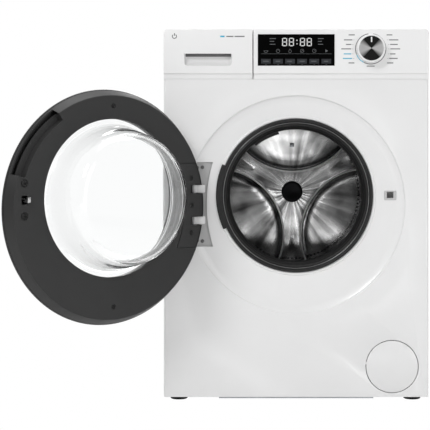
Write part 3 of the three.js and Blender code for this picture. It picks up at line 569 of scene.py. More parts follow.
# The polished black rim of the door.
BLACK_GLOSS = Finish("black_gloss_abs", "#141414", "#101010", 0.22, ior=1.53, grain_mm=1.0, relief_mm=0.004,
                     coat=0.3)
RIM_ABS = Finish("dark_rim_abs", "#242424", "#202020", 0.42, ior=1.5, grain_mm=0.8, relief_mm=0.015)
# Enamel greyed as painted shade for the recessed hinge pocket.
HINGE_POCKET_SHADE = Finish("hinge_pocket_painted_shade", "#C6C6C6", "#BDBDBD", 0.45, texture=Texture.ORANGE_PEEL, grain_mm=2.0,
                      relief_mm=0.015)
# Black acrylic window: mirror smooth, with faint haze from wiping.
ACRYLIC = Finish("black_acrylic", "#030303", "#040404", 0.12, ior=1.16, texture=Texture.SMOOTH, grain_mm=6,
                 relief_mm=0.002)
# EPDM door seal: matt, slightly chalky, with a soft mould texture.
EPDM = Finish("dark_epdm_rubber", "#1D1D1D", "#181818", 0.5, ior=1.42, grain_mm=1.4, relief_mm=0.04)
BLACK_RUBBER = Finish("black_rubber", "#070707", "#0B0B0B", 0.6, ior=1.52, grain_mm=1.1, relief_mm=0.04)
# Pressed and polished stainless steel, with faint turning marks round the drum's axis.
STAINLESS = Finish("polished_stainless", "#B9B9B9", "#A9A9A9", 0.2, metallic=1.0, texture=Texture.BRUSHED,
                   grain_mm=1.2, relief_mm=0.004, centre=tuple(AXIS))
# The blackened cap over the drum's hub.
HUB = Finish("blackened_hub", "#1A1A1B", "#0E0E0F", 0.3, metallic=1.0, texture=Texture.BRUSHED, grain_mm=1.5,
             relief_mm=0.01, centre=tuple(AXIS))
# The drum wall: the same sheet, punched all over. The real 3 mm holes stand 16 mm apart.
# Its holes are painted near black, as painted shade for the dark seen through them.
PUNCHED = Finish("punched_stainless", "#B5B5B5", "#A5A5A5", 0.24, metallic=1.0, texture=Texture.PERFORATED,
                 grain_mm=16.0, relief_mm=0.6, centre=tuple(AXIS))
ZINC = Finish("zinc_plated_steel", "#B9BCC0", "#A9ACB0", 0.38, metallic=1.0, grain_mm=3.0, relief_mm=0.01)
CHROME_WIRE = Finish("bright_steel_wire", "#D8D8D8", "#CCCCCC", 0.18, metallic=1.0, texture=Texture.SMOOTH,
                     grain_mm=2.0, relief_mm=0.003)
# The beads of the drum's back are rougher than the sheet round them; their near-white colour is a painted highlight.
BEAD_PAINTED_HIGHLIGHT = Finish("bead_painted_highlight", "#F0F0F0", "#E8E8E8", 0.46, metallic=1.0, texture=Texture.SMOOTH,
                    grain_mm=2.0, relief_mm=0.003)
DULL_WIRE = Finish("dull_steel_wire", "#9A9A9A", "#868686", 0.32, metallic=1.0, texture=Texture.SMOOTH,
                   grain_mm=2.0, relief_mm=0.003)
ALUMINIUM = Finish("cast_aluminium", "#A9ABAE", "#97999C", 0.5, metallic=1.0, texture=Texture.CAST,
                   grain_mm=1.6, relief_mm=0.08)
IRON = Finish("cast_iron_ballast", "#4B4A49", "#3D3C3B", 0.8, metallic=0.4, texture=Texture.CAST, grain_mm=3.0,
              relief_mm=0.25)
GREY_PP = Finish("grey_polypropylene", "#9C9EA0", "#939597", 0.5, ior=1.49, grain_mm=1.0, relief_mm=0.03)
LOCK_GREY = Finish("lock_grey_plastic", "#C8C8C8", "#C0C0C0", 0.5, ior=1.49, grain_mm=0.6, relief_mm=0.02)
# A grey sheet for the pocket behind the drawer's lip: painted shade.
DRAWER_POCKET_SHADE = Finish("drawer_pocket_painted_shade", "#6E6E6E", "#686868", 0.5, ior=1.49, grain_mm=0.5, relief_mm=0.02)
TRAY_GREY = Finish("tray_white_polypropylene", "#E2E4E6", "#DADCDE", 0.35, ior=1.49, grain_mm=0.8, relief_mm=0.01)
LACQUER = Finish("lacquered_board", "#2C6A44", "#25593A", 0.35, ior=1.55, grain_mm=1.5, relief_mm=0.02)
# Screen-printed inks lie flat on the fascia.
GREY_INK = Finish("grey_ink", "#6E6E6E", "#747474", 0.5, grain_mm=0.4, relief_mm=0.005)
DARK_INK = Finish("dark_ink", "#2E2E30", "#38383A", 0.5, grain_mm=0.4, relief_mm=0.005)
BLUE_INK = Finish("blue_ink", "#2BA6C9", "#3BB0D0", 0.5, grain_mm=0.4, relief_mm=0.005)
# Lit segments behind the window, and dimmer printed keys.
LIT = Finish("lit_segments", "#C9C9C9", "#BEBEBE", 0.5, grain_mm=0.5, relief_mm=0.0, glow=0.25)
DIM = Finish("dim_icons", "#5A5C5E", "#4E5052", 0.5, grain_mm=0.5, relief_mm=0.0, glow=0.05)
KEY = Finish("key_patch", "#22252A", "#1E2125", 0.35, grain_mm=0.5, relief_mm=0.0)
KNOB_CENTRE = place(168.4, 0, 800)


@dataclass(frozen=True)
class SpunMetalPaintedFans:
    """A knob face turned on a lathe, with two bright fans and two dark ones painted into its colour as painted
    highlight and painted shade.
    """

    name: str = "spun_aluminium_painted_fans"
    groove_mm: float = 0.35

    def build(self) -> bpy.types.Material:
        """Make the material, with its painted fans and its grain running round the knob's axis."""
        material = bpy.data.materials.new(self.name)
        material.use_nodes = True
        tree = material.node_tree
        tree.nodes.clear()
        spot = add_node(tree, "TexCoord").outputs["Object"]
        centred = add_node(tree, "Mapping", {"Vector": spot, "Location": [-c for c in KNOB_CENTRE]}).outputs[0]
        apart = add_node(tree, "SeparateXYZ", {0: centred})
        angle = add_node(tree, "Math", {0: apart.outputs["Z"], 1: apart.outputs["X"]}, operation="ARCTAN2")
        twice = add_node(tree, "Math", {0: angle.outputs[0], 1: 2.0}, operation="MULTIPLY")
        painted_fan = add_node(tree, "Math", {0: twice.outputs[0]}, operation="COSINE").outputs[0]
        painted_light_tone = add_node(tree, "ValToRGB", {0: add_node(tree, "MapRange", {
            "Value": painted_fan, "From Min": -1.0, "From Max": 1.0}).outputs["Result"]})
        stops = painted_light_tone.color_ramp.elements
        # The ramp's dark end is painted shade and its bright end a painted highlight.
        stops[0].position, stops[0].color = 0.42, colour("#2A2A2A")
        stops[1].position, stops[1].color = 0.9, colour("#D2D2D2")
        radius = add_node(tree, "VectorMath", {0: centred}, operation="LENGTH").outputs["Value"]
        grooves = add_node(tree, "TexNoise", {"W": radius, "Scale": 1 / (self.groove_mm * MM), "Detail": 2.0},
                           noise_dimensions="1D").outputs["Fac"]
        bump = add_node(tree, "Bump", {"Height": grooves, "Strength": 0.5, "Distance": 0.01 * MM})
        shader = add_node(tree, "BsdfPrincipled", {
            "Base Color": painted_light_tone.outputs["Color"], "Metallic": 1.0, "Roughness": 0.32,
            "Anisotropic": 0.6, "Normal": bump.outputs["Normal"]})
        add_node(tree, "OutputMaterial", {"Surface": shader.outputs["BSDF"]})
        return material


@dataclass(frozen=True)
class PressedSteelPaintedRays:
    """Deep-drawn, polished sheet, with light and dark rays out from the hub and broad blotches painted into its colour
    as painted reflections.
    """

    name: str = "drawn_stainless_painted_rays"
    rays: float = 4.6

    def build(self) -> bpy.types.Material:
        """Make the material, with painted reflection rays that run out from the drum's axis."""
        material = bpy.data.materials.new(self.name)
        material.use_nodes = True
        tree = material.node_tree
        tree.nodes.clear()
        spot = add_node(tree, "TexCoord").outputs["Object"]
        centred = add_node(tree, "Mapping", {"Vector": spot, "Location": [-c for c in AXIS]}).outputs[0]
        flat = add_node(tree, "VectorMath", {0: centred, 1: (1.0, 0.0, 1.0)}, operation="MULTIPLY").outputs[0]
        heading = add_node(tree, "VectorMath", {0: flat}, operation="NORMALIZE").outputs[0]
        ray = add_node(tree, "TexNoise", {"Vector": heading, "Scale": self.rays, "Detail": 2.0,
                                          "Roughness": 0.45}).outputs["Fac"]
        painted_blotch = add_node(tree, "TexNoise", {"Vector": centred, "Scale": 1 / (70 * MM), "Detail": 2.0}).outputs["Fac"]
        both = add_node(tree, "Math", {0: ray, 1: painted_blotch}, operation="ADD").outputs[0]
        painted_light_tone = add_node(tree, "MapRange", {"Value": both, "From Min": 0.72, "From Max": 1.25}).outputs["Result"]
        # The base colour swings from dark to light with the rays and blotches: painted reflections.
        base = add_node(tree, "Mix", {0: painted_light_tone, 6: colour("#4C4C4C"), 7: colour("#DADADA")}, data_type="RGBA")
        bump = add_node(tree, "Bump", {"Height": ray, "Strength": 0.3, "Distance": 2.0 * MM})
        shader = add_node(tree, "BsdfPrincipled", {
            "Base Color": base.outputs[2], "Metallic": 1.0, "Roughness": 0.2, "Anisotropic": 0.4,
            "Normal": bump.outputs["Normal"]})
        add_node(tree, "OutputMaterial", {"Surface": shader.outputs["BSDF"]})
        return material


@dataclass(frozen=True)
class PressedGlass:
    """Clear pressed borosilicate: thick, a little wavy, with fire-polished steps."""

    name: str = "clear_borosilicate"
    wave_mm: float = 25.0

    def build(self) -> bpy.types.Material:
        """Make the material."""
        material = bpy.data.materials.new(self.name)
        material.use_nodes = True
        tree = material.node_tree
        tree.nodes.clear()
        spot = add_node(tree, "TexCoord").outputs["Object"]
        wave = add_node(tree, "TexNoise", {"Vector": spot, "Scale": 1 / (self.wave_mm * MM), "Detail": 1.0})
        bump = add_node(tree, "Bump", {"Height": wave.outputs["Fac"], "Strength": 0.4, "Distance": 0.15 * MM})
        shader = add_node(tree, "BsdfPrincipled", {
            "Base Color": colour("#FDFEFE"), "Roughness": 0.02, "IOR": 1.47, "Transmission Weight": 1.0,
            "Normal": bump.outputs["Normal"]})
        add_node(tree, "OutputMaterial", {"Surface": shader.outputs["BSDF"]})
        return material


def keep(piece: bpy.types.Object, name: str, body: str | None, finish: Finish | SpunMetalPaintedFans | PressedSteelPaintedRays | PressedGlass,
         replaces: tuple[str, ...] = (), smooth: float = 32.0) -> bpy.types.Object:
    """Name a finished piece, dress it and let it ride on its body.

    Args:
        piece: the finished piece.
        name: its name.
        body: the body it moves with, or nothing if it flexes between two.
        finish: its material.
        replaces: CAD nodes that it stands for.
        smooth: the angle in degrees under which faces shade smoothly.

    Returns:
        The same piece.
    """
    settle(piece)
    piece.name = name
    piece.data.name = name
    piece.data.materials.clear()
    piece.data.materials.append(finish.build())
    only(piece)
    bpy.ops.object.shade_smooth_by_angle(angle=math.radians(smooth))
    if body:
        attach(piece, body)
    if replaces:
        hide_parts(*replaces)
    log.info("%s rides on %s", name, body or "two bodies")
    return piece


def dress(finish: Finish, *names: str) -> None:
    """Give CAD nodes a finish, and leave their shape as it is."""
    for name in names:
        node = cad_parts[name]
        for index in range(max(1, len(node.material_slots))):
            if len(node.material_slots) == 0:
                node.data.materials.append(finish.build())
            node.material_slots[index].material = finish.build()
        log.info("%s keeps its shape, in %s", name, finish.name)


# ---- shaping helpers for the sub-assemblies ----

def bevel_where(piece: bpy.types.Object, chosen: Callable[[list[Vector]], bool], width: float,
                segments: int = 5) -> bpy.types.Object:
    """Round the edges that a test picks by their place.

    Args:
        piece: the piece to change.
        chosen: takes an edge's two ends in the cabinet, in millimetres, and says whether to round it.
        width: the rounding in millimetres.
        segments: strips in the rounding.

    Returns:
        The same piece.
    """
    edit(piece)
    bpy.ops.mesh.select_mode(type="EDGE")
    bpy.ops.mesh.select_all(action="DESELECT")
    done()
    for line in piece.data.edges:
        line.select = chosen([(piece.data.vertices[i].co - ORIGIN) / MM for i in line.vertices])
    bpy.ops.object.mode_set(mode="EDIT")
    bpy.ops.mesh.bevel(offset=width * MM, segments=segments, affect="EDGES")
    bpy.ops.mesh.select_mode(type="VERT")
    done()
    return piece


def prism(outline: list[tuple[float, float]], low: float, high: float, rounding: float = 0.0) -> bpy.types.Object:
    """Raise an outline in x and y from one height to another.

    Args:
        outline: its corners in millimetres.
        low: the lower height.
        high: the upper height.
        rounding: radius of all edges.

    Returns:
        The new piece.
    """
    bpy.ops.object.select_all(action="DESELECT")
    bpy.ops.mesh.primitive_plane_add(size=MM)
    piece = bpy.context.object
    bpy.ops.object.mode_set(mode="EDIT")
    bpy.ops.mesh.merge(type="CENTER")
    points = [place(x, y, low) for x, y in outline]
    bpy.ops.transform.translate(value=points[0])
    for here, there in zip(points, points[1:]):
        bpy.ops.mesh.extrude_region_move(TRANSFORM_OT_translate={"value": there - here})
    bpy.ops.mesh.select_all(action="SELECT")
    bpy.ops.mesh.edge_face_add()
    bpy.ops.mesh.extrude_region_move(TRANSFORM_OT_translate={"value": step(0, 0, high - low)})
    bpy.ops.mesh.select_all(action="SELECT")
    bpy.ops.mesh.normals_make_consistent(inside=False)
    if rounding:
        bpy.ops.mesh.bevel(offset=rounding * MM, segments=2, affect="EDGES")
    done()
    return piece


def crescent(ring_x: float, ring_r: float, arc_x: float, arc_r: float, y0: float, y1: float,
             half: float) -> bpy.types.Object:
    """Make the plate between two circles on the door's level.

    Args:
        ring_x: centre of the outer circle, across the cabinet.
        ring_r: its radius.
        arc_x: centre of the circle that bounds it on the other side.
        arc_r: its radius.
        y0: front depth.
        y1: back depth.
        half: half its height.

    Returns:
        The new piece.
    """
    plate = disc(ring_r, y0, y1, ring_x, DOOR_Z, LARGE)
    combine(plate, disc(arc_r, y0 - 5, y1 + 5, arc_x, DOOR_Z, LARGE), Join.CUT)
    return combine(plate, block((-320, y0 - 3, DOOR_Z - half), (-100, y1 + 3, DOOR_Z + half)), Join.KEEP_COMMON)


def arm_slots() -> bpy.types.Object:
    """Make the two solids that clear the hinge arms out of the door."""
    (x, y), half = HINGE, 9.5
    outline = [(x - 40, y - 14.5), (x, y - 8.7), (x + 12, y - 5.5), (x + 24, y + 12), (x + 24, y + 40),
               (x - 40, y + 40)]
    return joined([prism(outline, DOOR_Z + rise - half, DOOR_Z + rise + half) for rise in (-35.5, 35.5)])


def opened(piece: bpy.types.Object) -> bpy.types.Object:
    """Swing a piece that was modelled on the closed door to where the door stands open."""
    return spin_about(piece, "Z", -DOOR_OPEN, place(*HINGE, 0))


def screw(x: float, y: float, z: float, radius: float = 4.2, facing: int = -1) -> bpy.types.Object:
    """Make a pan head screw with a cross recess.

    Args:
        x: its place across the cabinet.
        y: the depth of the face under its head.
        z: its height.
        radius: the head's radius.
        facing: -1 if it faces forward, 1 if it faces back.

    Returns:
        The new piece.
    """
    high = radius * 0.55
    head = turned([(0, y - high), (radius * 0.45, y - high * 0.97), (radius * 0.8, y - high * 0.75),
                   (radius, y - high * 0.25), (radius, y + 0.4), (0, y + 0.4)], x, z, SMALL)
    arm, thin, deep = radius * 0.58, radius * 0.13, y - high * 0.45
    for wide, tall in ((arm, thin), (thin, arm)):
        combine(head, block((x - wide, y - high - 1, z - tall), (x + wide, deep, z + tall)), Join.CUT)
    return head if facing < 0 else spin_about(head, "Z", 180, place(x, y, z))


def screws(name: str, places: list[Point], body: str, finish: Finish, radius: float = 4.2,
           facing: int = -1, swing: bool = False) -> None:
    """Make one screw and copy it to each place.

    Args:
        name: the piece's name.
        places: where the heads sit, in millimetres.
        body: the body they ride on.
        finish: their finish.
        radius: the heads' radius.
        facing: which way they face.
        swing: whether they sit on the door.
    """
    first = screw(*places[0], radius=radius, facing=facing)
    made = [first]
    for there in places[1:]:
        twin = copy_of(first)
        twin.location = step(*[b - a for a, b in zip(places[0], there)])
        made.append(settle(twin))
    piece = joined(made)
    keep(opened(piece) if swing else piece, name, body, finish)


DOOR_Z = 448.0
AXIS_Z = 468.0
HINGE = (-229.0, -18.0)
DOOR_OPEN = 141.0


# ---- sub-assemblies ----

@dataclass
class Cabinet:
    """The enamelled box, its worktop, base and feet.

    Attributes:
        half: half the cabinet's width.
        clearance: height of its lower edge.
        front_top: height of the front panel's upper edge.
        top_under: underside of the worktop.
        top: height of the worktop.
        feet: name, x and y of each foot.
    """

    half: float = 300.0
    clearance: float = 12.0
    front_top: float = 731.7
    top_under: float = 825.0
    top: float = 845.0
    feet: tuple[tuple[str, float, float], ...] = (
        ("front_left", -268.0, 52.0), ("front_right", 268.0, 52.0),
        ("rear_left", -268.0, 492.0), ("rear_right", 268.0, 492.0))

    def build(self) -> None:
        """Make every piece of the cabinet."""
        self.front()
        self.worktop()
        for side in (-1, 1):
            self.side(side)
        self.rear()
        self.base()
        for name, x, y in self.feet:
            self.foot(name, x, y)

    def front(self) -> None:
        """Press the front panel: its shallow dish, the rolled lip of its mouth and its openings."""
        panel = block((-self.half, 0, self.clearance), (self.half, 18, self.front_top))
        bevel_where(panel, lambda ends: all(p.y < 0.1 and abs(p.x) > self.half - 1 for p in ends)
                    and abs(ends[0].z - ends[1].z) > 10, 6.0, 6)
        bevel_where(panel, lambda ends: all(p.y < 0.1 and p.z > self.front_top - 1 for p in ends), 1.2, 3)
        combine(panel, block((-self.half + 3, 15.5, self.clearance + 3), (self.half - 3, 19, self.front_top - 3)),
                Join.CUT)
        combine(panel, turned([(0, -2), (249.4, -2), (249.4, -0.6), (248.2, 0.0), (247.2, 0.35), (246.5, 1.1),
                               (246.0, 2.5), (245.4, 3.8), (244.4, 4.6), (235.4, 7.6), (232.5, 8.6), (229, 9.4), (225, 9.8), (150, 11.5),
                               (0, 11.5)], 0, DOOR_Z), Join.CUT)
        lip = turned([(174.5, 23), (174.5, 10.8), *arc(10.8, 177.0, 2.5, 180, 270, 5), (179.4, 8.5),
                      *arc(10.6, 179.4, 2.1, -90, 0, 5), (181.5, 13), (176.2, 13.5), (176.2, 23), (174.5, 23)],
                     0, AXIS_Z)
        combine(panel, disc(177.5, -3, 30, 0, AXIS_Z, LARGE), Join.CUT)
        combine(panel, lip, Join.ADD)
        combine(panel, crescent(0, 244.5, 127, 330, -2, 17, 96), Join.CUT)
        combine(panel, block((200, -1, 457.2), (228, 18, 478.8), 2.0, 3), Join.CUT)
        combine(panel, turned([(0, -1), (61.2, -1), (61.0, 0), (60.3, 0.35), (60, 1.0), (60, 20), (0, 20)], 217.3, 80.6),
                Join.CUT)
        keep(panel, "pressed_front", "root", ENAMEL, ("front_panel",), 28)

    def worktop(self) -> None:
        """Lay the board in its moulded frame."""
        frame_piece = block((-self.half, 18.3, self.top_under), (self.half, CABINET_DEPTH, self.top), 3.0, 4)
        combine(frame_piece, block((-self.half + 14, 40, self.top - 1.1),
                                   (self.half - 14, CABINET_DEPTH - 38, self.top + 3), 0.5, 2), Join.CUT)
        keep(frame_piece, "worktop_frame", "root", WHITE_ABS, ("top_panel",))
        board = block((-self.half + 14.8, 40.8, self.top - 6), (self.half - 14.8, CABINET_DEPTH - 38.8, self.top - 0.3),
                      0.8, 3)
        keep(board, "worktop_board", "root", ENAMEL)

    def side(self, side: int) -> None:
        """Press a side panel with two shallow fields, whose sloped walls stiffen it."""
        outer, inner = side * self.half, side * (self.half - 1.5)
        low, high = min(outer, inner), max(outer, inner)
        panel = block((low, 18.3, self.clearance), (high, CABINET_DEPTH, self.top_under - 0.3))
        edit(panel)
        bpy.ops.mesh.select_mode(type="FACE")
        bpy.ops.mesh.select_all(action="DESELECT")
        done()
        for face in panel.data.polygons:
            face.select = abs(face.normal.x) > 0.9
        bpy.ops.object.mode_set(mode="EDIT")
        bpy.ops.mesh.inset(thickness=48 * MM, use_individual=True)
        bpy.ops.mesh.inset(thickness=7 * MM, use_individual=True)
        bpy.ops.transform.translate(value=step(-side * 3.0, 0, 0))
        bpy.ops.mesh.inset(thickness=70 * MM, use_individual=True)
        bpy.ops.mesh.inset(thickness=6 * MM, use_individual=True)
        bpy.ops.transform.translate(value=step(side * 2.4, 0, 0))
        bpy.ops.mesh.select_mode(type="VERT")
        done()
        soften(panel, 2.4, 3, 12)
        word = "left" if side < 0 else "right"
        keep(panel, f"pressed_side_{word}", "root", ENAMEL, (f"{word}_side_panel",))
        ends = sorted((side * 297.0, side * 231.0))
        hanger = block((ends[0], 337, 806), (ends[1], 355, 809), 0.6, 2)
        keep(hanger, f"spring_hanger_{word}", "root", ZINC)

    def rear(self) -> None:
        """Give the back its pressed beads, louvres, service cover and screws."""
        back = soften(from_cad("rear_panel"), 0.35, 2)
        beads = [block((x - 7, CABINET_DEPTH - 1, 60), (x + 7, CABINET_DEPTH + 2.2, 245), 2.1, 3)
                 for x in (-230, -150, 150, 230)]
        for bead in beads:
            combine(back, bead, Join.ADD)
        for row in range(7):
            slot = block((-60, CABINET_DEPTH - 8, 690 + row * 13), (60, CABINET_DEPTH + 5, 694 + row * 13), 1.6, 3)
            combine(back, slot, Join.CUT)
        keep(back, "pressed_back", "root", ENAMEL, ("rear_panel",))
        y = CABINET_DEPTH + 0.3
        cover = turned([(0, y + 8.5), (150, y + 8.5), (157.6, y + 0.4), (159, y), (172, y), (172, y + 1.5),
                        (160, y + 1.5), (158.4, y + 2.2), (152.2, y + 9.2), (150, y + 10), (62, y + 10),
                        (58, y + 9), (52, y + 9), (48, y + 10), (0, y + 10)], 0, AXIS_Z)
        keep(cover, "pressed_service_cover", "root", ENAMEL, ("rear_service_cover",), 24)
        ring_places = [(166 * math.cos(a), y + 1.5, AXIS_Z + 166 * math.sin(a))
                       for a in [math.radians(15 + 30 * i) for i in range(12)]]
        edge_places = [(x, CABINET_DEPTH, z) for x in (-288, 288) for z in (40, 230, 420, 610, 805)]
        screws("rear_screws", ring_places + edge_places, "root", ZINC, 4.0, 1)

    def base(self) -> None:
        """Soften the folded base frame."""
        keep(soften(from_cad("base_frame"), 0.8, 2), "folded_base", "root", ZINC, ("base_frame",))

    def foot(self, name: str, x: float, y: float) -> None:
        """Turn a levelling foot: a ribbed rubber pad, a hexagon and a threaded stem."""
        pad = turned_up([(0, 0), (17.6, 0), (19.2, 1.0), (19.5, 2.4), (19.5, 5.2), (18.6, 6.0), (19.0, 6.8),
                         (18.4, 7.6), (13.5, 10.2), (0, 10.5)], x, y)
        keep(pad, f"pad_{name}", f"foot_{name}", BLACK_RUBBER, (f"foot_{name}",))
        thread = [(0.0, 9.0), (5.0, 9.0)]
        for turn in range(19):
            thread += [(5.0, 11.0 + turn * 1.5), (4.3, 11.75 + turn * 1.5)]
        stem = turned_up([*thread, (4.4, 39.6), (0, 40)], x, y, SMALL)
        bpy.ops.mesh.primitive_cylinder_add(vertices=6, radius=10 * MM, depth=5 * MM, location=place(x, y, 12.6))
        nut = soften(settle(bpy.context.object), 0.5, 2, 40)
        keep(joined([stem, nut]), f"stem_{name}", f"foot_{name}", ZINC)


def turned_up(profile: Profile, x: float, y: float, steps: int = MEDIUM) -> bpy.types.Object:
    """Turn a (radius, height) profile about an upright axis through x and y."""
    lying = turned([(r, -h) for r, h in profile], x, 0, steps)
    lying.matrix_world = Matrix.Translation(place(x, y, 0)) @ Matrix.Rotation(-math.pi / 2, 4, "X") @ \
        Matrix.Translation(-place(x, 0, 0))
    return settle(lying)


@dataclass
class Fascia:
    """The control fascia with its window, printed marks and selector.

    Attributes:
        face: depth of its front face.
        back: depth of its rear edge.
        low: its lower edge.
        fold: height of the step over the front panel.
        seam: where it meets the drawer front.
        ink: how far ink stands on the face.
        knob: the selector's axis, x and z.
        bars: height of each pair of programme marks.
        keys: x of each touch key.
    """

    face: float = -4.0
    back: float = 18.0
    low: float = 732.0
    fold: float = 744.0
    seam: float = -97.8
    ink: float = 0.12
    knob: tuple[float, float] = (168.4, 800.0)
    bars: tuple[float, ...] = (831.6, 820.3, 810.0, 800.0, 788.6, 778.4, 768.2)
    keys: tuple[float, ...] = (-68.6, -41.2, -14.0, 13.2, 40.7, 68.1)

    def build(self) -> None:
        """Make every piece of the fascia."""
        self.shell()
        self.window()
        self.selector()
        self.programme_marks()

    def moulding(self, x0: float, x1: float, outer: float) -> bpy.types.Object:
        """Mould a front with soft edges, an upper outer corner of 9 mm and a step along its foot.

        Args:
            x0: its left end.
            x1: its right end.
            outer: the x of the end whose upper corner is rounded.

        Returns:
            The new piece.
        """
        body = block((x0, self.face, self.fold), (x1, self.back, 845))
        bevel_where(body, lambda ends: all(p.z > 844 and abs(p.x - outer) < 1 for p in ends), 9.0, 8)
        bevel_where(body, lambda ends: all(p.y < self.face + 0.1 for p in ends), 1.3, 4)
        foot = block((x0, 0, self.low), (x1, self.back, self.fold + 2), 0.7, 2)
        combine(body, foot, Join.ADD)
        return combine(body, block((x0 + 3, 3, self.low + 3), (x1 - 3, self.back + 1, 842)), Join.CUT)

    def shell(self) -> None:
        """Mould the fascia, and let the window and the selector's stem through."""
        body = self.moulding(self.seam + 1, 300, 300)
        combine(body, block((-87.1, -6, 761.7), (87.1, 8, 833.3), 1.2, 3), Join.CUT)
        combine(body, disc(8, -10, 10, *self.knob), Join.CUT)
        keep(body, "fascia_moulding", "root", WHITE_ABS, ("control_fascia",))

    def print_marks(self, name: str, marks: list[tuple[float, float, float, float]], finish: Finish,
                    y: float | None = None) -> None:
        """Print rectangles on a face.

        Args:
            name: the piece's name.
            marks: left, right, lower and upper edge of each, in millimetres.
            finish: the ink.
            y: the face's depth, if it is not the fascia's.
        """
        face = self.face if y is None else y
        pieces = [block((a, face - self.ink, c), (b, face + 0.1, d)) for a, b, c, d in marks]
        keep(joined(pieces), name, "root", finish)

    def window(self) -> None:
        """Fill the window with its time, icons and touch keys."""
        glass = block((-86.75, -4.0, 762.1), (86.75, -1.5, 832.9), 0.5, 3)
        keep(glass, "window_pane", "root", ACRYLIC, ("display_window",))
        self.digits()
        self.icons()
        patches = [(x - 11, x + 11, 766.6, 777.4) for x in self.keys]
        self.print_marks("touch_patches", patches, KEY)
        names = [(x - 6.5 + (i % 2), x + 6.0 - (i % 3), 770.9, 773.0) for i, x in enumerate(self.keys)]
        self.print_marks("touch_marks", names, DIM, self.face - self.ink)
        rule = [(-80, 80, 788.6, 789.2)] + [(x - 1.4, x + 1.4, 764.0, 765.0) for x in self.keys]
        side_marks = [(-60, -46, 822.4, 824.2), (-60, -50, 816.2, 817.8), (-60, -47, 809.6, 811.2),
                      (49, 62, 822.4, 824.2), (49, 58, 816.2, 817.8), (49, 61, 809.6, 811.2)]
        self.print_marks("window_marks", rule + side_marks, DIM)

    def digits(self) -> None:
        """Light four seven-segment figures and the colon between them."""
        wide, tall, bar = 11.4, 19.0, 2.1
        low = 806.0
        half = tall / 2
        marks: list[tuple[float, float, float, float]] = []
        for x in (-32.0, -16.6, 8.4, 23.8):
            for rise in (0.0, half - bar / 2, tall - bar):
                marks.append((x + bar + 0.5, x + wide - bar - 0.5, low + rise, low + rise + bar))
            for side in (0.0, wide - bar):
                for rise in (bar * 0.5, half + 0.5):
                    marks.append((x + side, x + side + bar, low + rise, low + rise + half - bar * 0.5 - 0.5))
        marks += [(0.4, 2.8, low + 4.2, low + 6.6), (0.4, 2.8, low + 12.2, low + 14.6)]
        pieces = [block((a, self.face - self.ink, c), (b, self.face + 0.1, d)) for a, b, c, d in marks]
        keep(joined(pieces), "lit_time", "root", LIT)

    def icons(self) -> None:
        """Print six plain outline signs over the keys: a bowl, a dial, a drop, a rinse, a clock and a play mark."""
        y0, y1, z = self.face - self.ink, self.face + 0.1, 795.5
        a, b, c, d, e, f = self.keys
        parts = [wedge(3.6, 4.5, y0, y1, a, z, 180, 360, 20), block((a - 5.2, y0, z - 0.4), (a + 5.2, y1, z + 0.5)),
                 ring(3.5, 4.4, y0, y1, b, z, SMALL), block((b - 0.4, y0, z), (b + 0.4, y1, z + 3.0)),
                 wedge(2.6, 3.5, y0, y1, c, z - 1.2, 150, 390, 20),
                 ring(3.5, 4.4, y0, y1, d, z, SMALL), disc(1.0, y0, y1, d - 1.1, z - 0.6, 12),
                 disc(1.0, y0, y1, d + 1.3, z + 0.9, 12),
                 ring(3.5, 4.4, y0, y1, e, z, SMALL), block((e - 0.4, y0, z - 0.4), (e + 0.4, y1, z + 2.8)),
                 block((e - 0.4, y0, z - 0.4), (e + 2.4, y1, z + 0.4))]
        for lean, dx in ((28, -1.5), (-28, 1.5)):
            parts.append(spin_about(block((c + dx - 0.4, y0, z), (c + dx + 0.4, y1, z + 4.6)), "Y", lean,
                                    place(c + dx, 0, z + 2.2)))
        bpy.ops.mesh.primitive_cylinder_add(vertices=3, radius=4.2 * MM, depth=(y1 - y0) * MM,
                                            location=place(f, (y0 + y1) / 2, z), rotation=(math.pi / 2, 0, 0))
        parts.append(spin_about(settle(bpy.context.object), "Y", 90, place(f, 0, z)))
        keep(joined(parts), "key_signs", "root", DIM)

    def selector(self) -> None:
        """Turn the selector: a white collar, a spun face in a fine groove, and its pointer."""
        x, z = self.knob
        base, front = self.face - 0.6, self.face - 22.6
        body = turned([(0, front + 0.8), (27.9, front + 0.8), (28.1, front + 0.1), (29.2, front),
                       *arc(front + 2.2, 29.8, 2.2, -90, -20, 5), (32.0, front + 4.5), (31.7, base - 1.2),
                       (31.0, base), (0, base)], x, z)
        keep(body, "selector_collar", "knob", WHITE_ABS, ("selector_knob",))
        face = turned([(0, front + 0.15), (26.8, front - 0.0), *arc(front + 0.7, 27.0, 0.7, -90, 0, 4),
                       (27.7, front + 1.5), (0, front + 1.5)], x, z)
        # Its bright and dark fans are painted highlight and painted shade.
        keep(face, "selector_face", "knob", SpunMetalPaintedFans())
        pointer = block((x - 1.6, front - 0.35, z + 13.6), (x + 1.6, front + 0.6, z + 25.3), 0.5, 3)
        keep(pointer, "selector_pointer", "knob", WHITE_ABS)
        stem = disc(3, base - 1, 14, x, z, SMALL)
        keep(stem, "selector_stem", "knob", ZINC)
        y0, y1 = self.face - self.ink, self.face + 0.1
        scale = joined([wedge(33.6, 35.0, y0, y1, x, z, 99, 202, 60), wedge(33.6, 35.0, y0, y1, x, z, 243, 441, 90)])
        keep(scale, "selector_scale", "root", DARK_INK)
        keep(wedge(33.5, 35.1, y0, y1, x, z, 203, 242, 30), "selector_blue_arc", "root", BLUE_INK)

